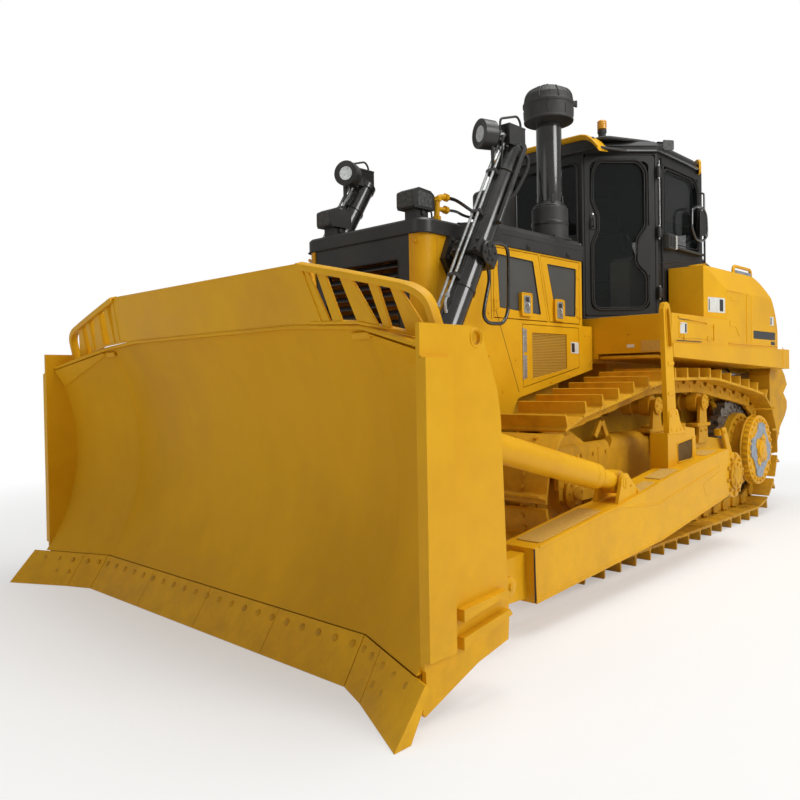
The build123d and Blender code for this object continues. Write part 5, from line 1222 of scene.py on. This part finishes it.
piece("stack_collars", collars + prongs, enamel_black)
dome = [turned([(1.118, 0.2), (1.118, 0.2275), (1.124, 0.2315), (1.136, 0.2315), (1.142, 0.2275),
                (1.142, 0.2)], STACK, Z, 48),
        turned([(1.262, 0.2), (1.262, 0.2365), (1.268, 0.2405), (1.29, 0.2405), (1.296, 0.2365),
                (1.296, 0.2)], STACK, Z, 48),
        turned([(1.436, 0.0), (1.454, 0.0), (1.4535, 0.03), (1.447, 0.055), (1.436, 0.05)], STACK, Z, 24)]
toward = np.array([0.733, 0.68, 0])
dome += [box_between(STACK + toward * 0.222 + (0, 0, 1.268), STACK + toward * 0.222 + (0, 0, 1.318), 0.036,
                     0.07, toward),
         solid([(-0.03, 0.011), (0.03, 0.011)], STACK + toward * 0.262 + (0, 0, 1.292), Z, 10)]
for turn_at in np.arange(8) * math.pi / 4 + 0.2:
    way, lead = heading(turn_at), heading(turn_at + 0.35)
    dome.append(tube(flowing([STACK + way * 0.234 + (0, 0, 1.3), STACK + way * 0.222 + (0, 0, 1.352),
                              STACK + way * 0.18 + (0, 0, 1.404),
                              STACK + lead * 0.105 + (0, 0, 1.441)], 4), 0.0075, 8))
    dome.append(box_between(STACK + lead * 0.2285 + (0, 0, 1.16), STACK + lead * 0.2315 + (0, 0, 1.235),
                            0.022, 0.008, lead))
piece("dome_ribs", dome, moulded_black)
straps = []
for y in (-0.52, -0.29):
    strap = rounded([(-0.085, y, 2.846), (0.225, y, 2.846), (0.225, y, 3.314), (-0.085, y, 3.314)], 0.05, 3)
    straps.append(hoop(strap, 0.01, 8))
outlet = arc_path([(0.07, -0.405, 3.3), (0.07, -0.405, 3.48), (0.07, -0.25, 3.56)], 0.08)
straps += [tube(outlet, 0.055, 20), drum(0.085, 0.014, (0.07, -0.405, 3.308), Z, 28),
           ring_bolts((0.07, -0.405, 3.322), Z, 0.07, 6, 0.008, 0.008)]
piece("muffler_straps", straps, enamel_black)

# ---------------------------------------------------------------- tank, steps and rear block
CORNER_AT, CORNER_U = np.array([1.358, 1.256, 0.0]), unit([0.072, 0.421, 0.0])
CORNER_OUT = np.array([CORNER_U[1], -CORNER_U[0], 0.0])


def corner_plate(outline, out, thick):
    """Flat plate on the tank's cut front corner: (u, z) outline from out outwards."""
    return slab(outline, CORNER_AT + out * CORNER_OUT, CORNER_U, Z, thick, thick * 0.3)


pair("tank_plate_white", [corner_plate(oblong(0.075, 0.385, 2.195, 2.345), -0.0005, 0.0022)], vinyl_white)
pair("tank_plate_black", [corner_plate(oblong(0.285, 0.35, 2.21, 2.33), 0.0013, 0.001),
                          corner_plate(oblong(0.088, 0.104, 2.212, 2.328), 0.0013, 0.001)], vinyl_black)
SEAM_X, PLATE_X = 1.4305, 1.4295  # where seams and plates lie on the side of the tank
tank_lines = [tube([(SEAM_X, 2.215, 1.886), (SEAM_X, 2.222, 2.43)], 0.0065, 8),
              tube([(SEAM_X, 2.35, 1.886), (SEAM_X, 2.358, 2.415)], 0.004, 6),
              tube([(SEAM_X, 1.7, 1.895), (SEAM_X, 3.2, 1.895)], 0.008, 8),
              tube([(SEAM_X, 1.682, 2.432), (SEAM_X, 2.098, 2.432)], 0.006, 8)]
pair("tank_seams", tank_lines, enamel_yellow)
patch = [sheet_x(rounded([(1.74, 2.13), (2.06, 2.14), (2.06, 1.975), (1.99, 1.975), (1.9, 2.065),
                          (1.74, 2.065)], 0.02, 3), PLATE_X, 0.005, 0.002),
         sheet_x(oblong(1.78, 1.96, 2.335, 2.375), PLATE_X, 0.004, 0.0015)]
pair("tank_patches", patch, enamel_yellow)
pair("tank_small_plate", [sheet_x(oblong(2.965, 3.085, 2.125, 2.225), PLATE_X, 0.002, 0.0006)], vinyl_white)
dark_plates = [sheet_x(oblong(2.425, 3.125, 1.96, 2.048), PLATE_X, 0.0022, 0.0006),
               sheet_x(oblong(2.985, 3.115, 1.902, 1.942), PLATE_X, 0.0022, 0.0006),
               sheet_x(oblong(2.975, 3.01, 2.135, 2.215), 1.431, 0.001, 0.0003)]
pair("tank_dark_plates", dark_plates, vinyl_black)
grab = arc_path([(1.25, 2.315, 2.6), (1.25, 2.35, 2.765), (1.25, 2.86, 2.765), (1.25, 2.915, 2.5)], 0.045)
pair("tank_grab_arches", [tube(grab, 0.018, 12)], enamel_yellow)
mesh_box = [block((1.238, 2.37, 2.56), (1.262, 2.86, 2.725), 0.006)]
mesh_box += [block((1.262, 2.395 + 0.06 * k, 2.66), (1.268, 2.43 + 0.06 * k, 2.712), 0.003)
             for k in range(8)]
pair("tank_grab_infills", mesh_box, primer_grey)
filler_cap = [solid([(0, 0.11), (0.03, 0.11), (0.036, 0.104), (0.036, 0.08), (0.062, 0.078), (0.068, 0.07)],
                    (1.12, 1.7, 2.65), Z, 36), block((1.03, 1.69, 2.718), (1.21, 1.71, 2.73), 0.004)]
piece("tank_filler_cap", filler_cap, enamel_yellow)

# hatch in the side of the step box, its frame, hinges and blank plate
hatch = [sheet_x(oblong(0.5, 1.285, 1.915, 2.058, 0.015), 1.4345, 0.005, 0.002),
         tube([(1.44, 0.482, 2.098), (1.44, 1.105, 2.075), (1.44, 1.118, 2.06)], 0.007, 8),
         tube([(1.44, 1.3, 1.905), (1.44, 1.3, 2.066)], 0.006, 8)]
hatch += [box_between((1.443, y, 1.905), (1.443, y, 1.95), 0.06, 0.008, X) for y in (0.62, 1.16)]
hatch += [bolts([(1.4395, y, z) for y in (0.53, 1.255) for z in (1.935, 2.04)], X, 0.009, 0.006)]
pair("step_hatches", hatch, enamel_yellow)
slits = [sheet_x(oblong(0.5, 1.1, 2.078, 2.084, 0.002), 1.4345, 0.0015, 0.0004),
         sheet_x(oblong(0.42, 0.98, 1.881, 1.889, 0.002), 1.4495, 0.0015, 0.0004)]
pair("step_slits", slits, vinyl_black)
pair("step_plate_white", [sheet_x(oblong(0.52, 0.668, 1.953, 2.053), 1.4393, 0.002, 0.0006)], vinyl_white)
pair("step_plate_black", [sheet_x(oblong(0.62, 0.655, 1.962, 2.044), 1.441, 0.001, 0.0003)], vinyl_black)
front_plate = [slab(oblong(1.142, 1.33, 1.792, 1.895, 0.006), (0, 0.3505, 0), X, Z, 0.006, 0.002)]
pair("step_front_plates", front_plate, grit)
pair("step_front_labels",
     [slab(oblong(1.0, 1.075, 1.835, 1.865, 0.005), (0, 0.35, 0), X, Z, 0.002, 0.0006)], vinyl_white)
treads = [block((0.72, 0.345, 1.733), (1.32, 0.52, 1.757), 0.006)]
treads += [block((0.75, 0.35 + 0.05 * k, 1.757), (1.3, 0.372 + 0.05 * k, 1.763), 0.002) for k in range(3)]
treads += [bolts([(1.02 + 0.13 * k, 0.3495, 1.96) for k in (0, 2)], -Y, 0.01, 0.006)]
pair("step_treads", treads, enamel_cast)
deck = [block((0.7, 0.36, 2.1285), (1.42, 1.22, 2.134), 0.002)]
pair("step_decks", deck, grit)
under = [tube([(1.05, 2.2, 1.6), (1.05, 3.24, 1.56)], 0.05, 16),
         drum(0.062, 0.03, (1.05, 2.6, 1.585), Y, 20)]
pair("fender_pipes", under, gloss_black)
rear_marks = [bolts([(x, 3.5695, z) for x in (-1.3, -0.8, 0.8, 1.3) for z in (1.72, 1.84)], Y, 0.016, 0.012)]
rear_marks += [tube([(s * 1.4505, 3.335, 1.64), (s * 1.4505, 3.335, 1.88)], 0.005, 6) for s in (-1, 1)]
piece("rear_bumper_bolts", rear_marks, enamel_yellow)

# ---------------------------------------------------------------- running gear
FRAME_SIDE, GUARD_SIDE = 1.285, 1.311
ROLLER_PITCH = 0.338
guards = [bolts([(GUARD_SIDE, y, z) for y in np.arange(-0.56, 1.95, ROLLER_PITCH / 2)
                 for z in (0.385, 0.53)], X, 0.017, 0.014)]
guards += [sheet_x(rounded([(y - 0.055, 0.56), (y + 0.055, 0.56), (y + 0.04, 0.64), (y - 0.04, 0.64)], 0.01,
                           2), FRAME_SIDE - 0.001, 0.034, 0.004)
           for y in np.arange(-0.45, 1.9, ROLLER_PITCH)]
guards += [solid([(0, 0.048), (0.006, 0.052), (0.014, 0.052), (0.018, 0.046)],
                 (GUARD_SIDE - 0.001, y, 0.458), X, 20) for y in -0.54 + ROLLER_PITCH * np.arange(8)]
pair("roller_guard_bolts", guards, enamel_cast)
# recoil housing: a bent cover that runs forwards over the idler yoke
section = rounded([(1.2475, 0.7), (1.29, 0.72), (1.29, 0.985), (1.278, 1.03), (1.2475, 1.062)], 0.02, 3)
rows = [np.column_stack([s * section[:, 0] + (1 - s) * 1.268, np.full(len(section), y),
                         s * section[:, 1] + (1 - s) * 0.9])
        for y, s in ((-1.31, 0.93), (-1.3, 1.0), (-0.545, 1.0), (-0.535, 0.97))]
cover = [skin(np.stack(rows)), box_between((1.288, -0.7, 0.72), (1.288, -0.7, 1.0), 0.05, 0.014, X),
         bolts([(1.29, y, z) for y in (-1.22, -0.98, -0.8, -0.6) for z in (0.765, 0.96)], X, 0.015, 0.012)]
cover += [solid([(0, 0.12), (0.008, 0.126), (0.026, 0.126), (0.034, 0.11), (0.034, 0.05), (0.046, 0.044)],
                (1.289, *IDLER), X, 32), ring_bolts((1.323, *IDLER), X, 0.088, 8, 0.012, 0.01)]
cover += [box_between((1.2, foot, 1.075), (1.2, peak, 1.2), 0.05, 0.03, X)
          for foot, peak in ((-0.62, -0.52), (-0.42, -0.5))]
pair("recoil_covers", cover, enamel_cast)
frame_top = [tube([(1.2855, -0.5, 0.64), (1.2855, 1.8, 0.64)], 0.007, 8)]
for y in PULLEYS[1:3, 0]:  # one fitting by each carrier roller
    frame_top.append(solid([(0, 0.075), (0.006, 0.08), (0.02, 0.08), (0.026, 0.072)], (1.312, y, 1.3), X,
                           28))
    frame_top.append(ring_bolts((1.338, y, 1.3), X, 0.052, 5, 0.01, 0.009))
    frame_top.append(bolts([(1.3125, y + dy, 1.02) for dy in (-0.06, 0.06)], X, 0.014, 0.012))
    frame_top.append(block((1.2, y - 0.16, 1.06), (1.325, y + 0.16, 1.095), 0.01))
frame_top += [block((1.05, 0.5, 1.07), (1.24, 1.1, 1.105), 0.015),
              bolts([(1.08 + dx, 0.56 + dy, 1.105) for dx in (0, 0.12) for dy in (0, 0.48)], Z, 0.016,
                    0.012)]
pair("track_frame_fittings", frame_top, enamel_cast)
rear_guard = [sheet_x(rounded([(1.93, 0.6), (2.02, 0.6), (2.15, 0.36), (2.06, 0.31), (1.93, 0.42)], 0.02,
                              3), FRAME_SIDE, 0.03, 0.006),
              sheet_x(rounded([(1.7, 1.02), (1.8, 1.03), (2.06, 0.6), (1.96, 0.57)], 0.02, 3), 1.33, 0.03,
                      0.006),
              bolts([(1.36, 1.76, 0.98), (1.36, 1.99, 0.62)], X, 0.018, 0.014),
              block((1.27, 1.7, 0.94), (1.335, 1.8, 1.01), 0.01),
              block((1.27, 1.94, 0.585), (1.335, 2.03, 0.64), 0.01)]
pair("sprocket_guards", rear_guard, enamel_yellow)

# sprocket segments and hub
HUB = np.array([0.0, *SPROCKET])


def round_hub(radius_at, count):
    """Outline (y, z) round the hub, its radius given for each angle."""
    turn = np.linspace(0, 2 * np.pi, count, endpoint=False)
    return HUB[1:] + radius_at(turn)[:, None] * np.stack([np.cos(turn), np.sin(turn)], -1)


segment = [ring_bolts(HUB + (1.175, 0, 0), X, 0.47, 27, 0.015, 0.012),
           ring_bolts(HUB + (1.175, 0, 0), X, 0.43, 27, 0.013, 0.01, 0.1)]
pair("sprocket_bolts", segment, tooth_steel)
hub = [solid([(1.4395, 0.3715), (1.445, 0.3755), (1.45, 0.3715)], HUB, X, 64),
       ring_bolts(HUB + (1.45, 0, 0), X, 0.335, 24, 0.017, 0.018),
       ring_bolts(HUB + (1.475, 0, 0), X, 0.125, 12, 0.01, 0.01, 0.13)]


def lobes(mean, swing, phase):
    """Four-lobed outline round the hub: tanh squares off the cosine."""
    return round_hub(lambda turn: mean + swing * np.tanh(3.0 * np.cos(4 * turn + phase)), 120)


hub += [sheet_x(lobes(0.15, 0.034, 2.2), 1.4655, 0.01, 0.004),
        solid([(1.47, 0.1), (1.476, 0.105), (1.484, 0.105), (1.49, 0.096), (1.49, 0.045), (1.498, 0.04)],
              HUB, X, 40)]
teeth = round_hub(lambda turn: 0.368 + 0.012 * np.sign(np.sin(36 * turn)), 288)
hub.append(sheet_x(teeth, 1.395, 0.04, 0.002))
pair("hub_covers", hub, enamel_yellow)
pair("hub_recess", [sheet_x(lobes(0.268, 0.03, 0.6), 1.449, 0.018, 0.002)], primer_grey)
case = [ring_bolts(HUB + (1.255, 0, 0), X, 0.355, 20, 0.016, 0.014),
        turned([(1.362, 0.3), (1.362, 0.378), (1.372, 0.384), (1.384, 0.378), (1.384, 0.3)], HUB, X, 64)]
pair("final_drive_bolts", case, enamel_cast)

# ---------------------------------------------------------------- push arms
ARM_X = 1.77  # outer side of the arm
weld = arc_path([(ARM_X, -2.3, 0.532), (ARM_X, -1.44, 0.635), (ARM_X, -1.26, 0.64), (ARM_X, -0.64, 0.585),
                 (ARM_X, 0.56, 0.765)], 0.04)
arm_parts = [tube(weld, 0.0065, 8)]
arm_parts.append(tube([(ARM_X, -2.335, 0.215), (ARM_X, -0.6, 0.312), (ARM_X, 0.74, 0.488)], 0.005, 6))
arm_parts.append(sheet_x(rounded([(0.18, 0.64), (0.6, 0.73), (0.72, 0.64), (0.6, 0.56), (0.25, 0.53)], 0.04,
                                 3), ARM_X - 0.001, 0.004, 0.002))
pair("arm_welds", arm_parts, enamel_yellow, "arm_{}")
pair("arm_joint_gaps",
     [box_between((ARM_X - 0.0005, -2.347, 0.2), (ARM_X - 0.0005, -2.352, 0.528), 0.012, 0.002, X)], rubber,
     "arm_{}")


def on_arm(y0, y1, z0, z1, x0, x1):
    """Strip laid on the top of the arm between two stations."""
    middle = 0.5 * (x0 + x1)
    return box_between((middle, y0, z0), (middle, y1, z1), x1 - x0, 0.008, Z)


strips = [on_arm(*ends) for ends in (
    (-0.93, -0.65, 0.703, 0.748, 1.64, 1.74), (-0.56, -0.23, 0.762, 0.805, 1.6, 1.74),
    (0.38, 0.64, 0.868, 0.892, 1.56, 1.72), (-2.25, -1.48, 0.546, 0.64, 1.56, 1.74))]
pair("arm_grit_strips", strips, grit, "arm_{}")
post = [bolts([(1.64, y, z) for y, z in ((-0.15, 1.24), (-0.05, 1.255), (-0.14, 1.12), (-0.04, 1.115),
                                         (0.04, 1.118), (0.11, 1.122))], X, 0.017, 0.014),
        sheet_x(rounded([(-0.195, 1.08), (0.14, 1.07), (0.03, 1.17), (-0.025, 1.29), (-0.185, 1.28)], 0.02,
                        3), 1.6395, 0.01, 0.003)]
post.append(ring_tube([(1.642, -0.192, 1.8), (1.642, -0.222, 2.102), (1.642, -0.19, 2.142),
                       (1.642, -0.158, 2.102), (1.642, -0.108, 1.8)], 0.006, 0.03, 8))
post += [box_between((1.642, -0.185, z), (1.642, -0.075, z), 0.03, 0.01, X) for z in (1.42, 1.67)]
pair("arm_post_fittings", post, enamel_yellow, "arm_{}")
window_rim = np.array([(1.6455, -0.04, 0.998), (1.6455, 0.272, 1.026), (1.6455, 0.268, 0.848),
                       (1.6455, -0.026, 0.84)])
pair("arm_window_rims", [ring_tube(window_rim, 0.006, 0.03)], enamel_yellow, "arm_{}")
# dark sheet inside the window rim: painted shade of the unlit inside of the box
shade = [sheet_x(window_rim[:, 1:], 1.64, 0.0016, 0.0004)]
pair("arm_window_backs", shade, shaded_brown, "arm_{}")
STRUT_R, STRUT_F = np.array([1.645, -1.14, 0.8]), np.array([1.585, -2.93, 1.26])
fork = [solid([(0.08, 0.046), (0.104, 0.046), (0.108, 0.042)], STRUT_R, X, 28),
        sheet_x(oblong(-1.154, -1.126, 0.765, 0.835, 0.012, 3), 1.752, 0.006, 0.002),
        solid([(0.1, 0.008), (0.112, 0.008)], STRUT_R + (0, 0.075, -0.03), X, 12),
        bolts([(1.747, -0.965, 0.722)], X, 0.013, 0.012)]
pair("fork_pins", fork, enamel_yellow, "arm_{}")
BEARING = (0.92, 0.65)  # y and z of the arm's trunnion
caps = [solid([(0, 0.125), (0.008, 0.132), (0.022, 0.132), (0.028, 0.12), (0.028, 0.085), (0.036, 0.08)],
              (1.7645, *BEARING), X, 36), ring_bolts((1.7925, *BEARING), X, 0.103, 8, 0.014, 0.012),
        ring_bolts((1.765, *BEARING), X, 0.172, 10, 0.018, 0.018, 0.2),
        tube([(1.7655, 0.92, 0.445), (1.7655, 0.92, 0.515)], 0.005, 6),
        tube([(1.7655, 0.92, 0.785), (1.7655, 0.92, 0.855)], 0.005, 6)]
pair("bearing_cap_bolts", caps, enamel_cast)

# strut and tilt cylinder: collars, grease nipple, bolts
ALONG_STRUT = unit(STRUT_F - STRUT_R)
strut_len = np.linalg.norm(STRUT_F - STRUT_R)


def on_strut(along, up=(0, 0, 0)):
    """Point by the strut: a distance from its rear pin, moved by up."""
    return STRUT_R + along * ALONG_STRUT + up


NIPPLE_WAY = unit([0.4, 0, 0.9])  # the grease nipple points up and outwards
strut_marks = [turned([(0.235, 0.06), (0.235, 0.08), (0.262, 0.094), (0.268, 0.094), (0.268, 0.06)],
                      STRUT_R, ALONG_STRUT, 36),
               turned([(0.33, 0.08), (0.33, 0.0935), (0.334, 0.0955), (0.34, 0.0935), (0.34, 0.08)],
                      STRUT_R, ALONG_STRUT, 36),
               turned([(strut_len - 0.33, 0.045), (strut_len - 0.33, 0.094), (strut_len - 0.322, 0.096),
                       (strut_len - 0.29, 0.07), (strut_len - 0.29, 0.045)], STRUT_R, ALONG_STRUT, 36),
               solid([(0, 0.01), (0.012, 0.01), (0.022, 0.005)], on_strut(0.55, 0.09 * NIPPLE_WAY),
                     NIPPLE_WAY, 12)]
piece("strut_collars", strut_marks, enamel_yellow, "strut")
barrel_marks = [turned([(1.0, 0.064), (1.0, 0.126), (1.006, 0.13), (1.03, 0.13), (1.036, 0.11),
                        (1.036, 0.064)], STRUT_R, ALONG_STRUT, 40),
                ring_bolts(on_strut(1.036), ALONG_STRUT, 0.095, 8, 0.012, 0.012),
                bent([on_strut(0.26, (0, 0.02, 0.115)), on_strut(0.26, (0, 0.03, 0.15)),
                      on_strut(0.92, (0, 0.03, 0.15)), on_strut(0.94, (0, 0.02, 0.115))], 0.03, 0.013, 10)]
piece("tilt_barrel_marks", mirrored(barrel_marks), enamel_yellow, "tilt_barrel")

# pin caps on the back of the blade
ARM_EYE = np.array([1.645, -2.61, 0.353])
pins = []
for at, reach in ((ARM_EYE, 0.1105), (STRUT_F, 0.1075), (LIFT_EYE, 0.1015)):
    pins.append(solid([(reach, 0.052), (reach + 0.006, 0.056), (reach + 0.018, 0.056),
                       (reach + 0.022, 0.05)], at, X, 28))
    pins.append(bolts([at + (reach + 0.022, 0, 0)], X, 0.022, 0.012))
pair("blade_pin_caps", pins, enamel_yellow, "blade")

# sheet that closes the sloping front of the hood down to the guard cap
sheet = [(-1.636, 2.69), (-1.636, 2.7725), (-1.36, 2.8211), (-1.36, 2.815), (-1.626, 2.764), (-1.626, 2.69)]
piece("hood_nose", [slab(sheet, (-0.642, 0, 0), Y, Z, 1.284, 0.0015),
                    bolts([(x, y, 2.768 + (y + 1.66) * 0.177) for x in (-0.6, 0.0, 0.6)
                           for y in (-1.6, -1.39)], Z, 0.009, 0.006)], enamel_black)

# ---------------------------------------------------------------- floor
FLOOR, FLOOR_Z = 60.0, -0.002  # half width, and level a hair under the shoes
floor_mesh = bpy.data.meshes.new("floor")
floor_mesh.from_pydata([(x * FLOOR, y * FLOOR, FLOOR_Z) for x, y in ((-1, -1), (1, -1), (1, 1), (-1, 1))],
                       [], [(0, 1, 2, 3)])
floor_mesh.materials.append(floor_paint)
floor = bpy.data.objects.new("floor", floor_mesh)
bpy.context.scene.collection.objects.link(floor)
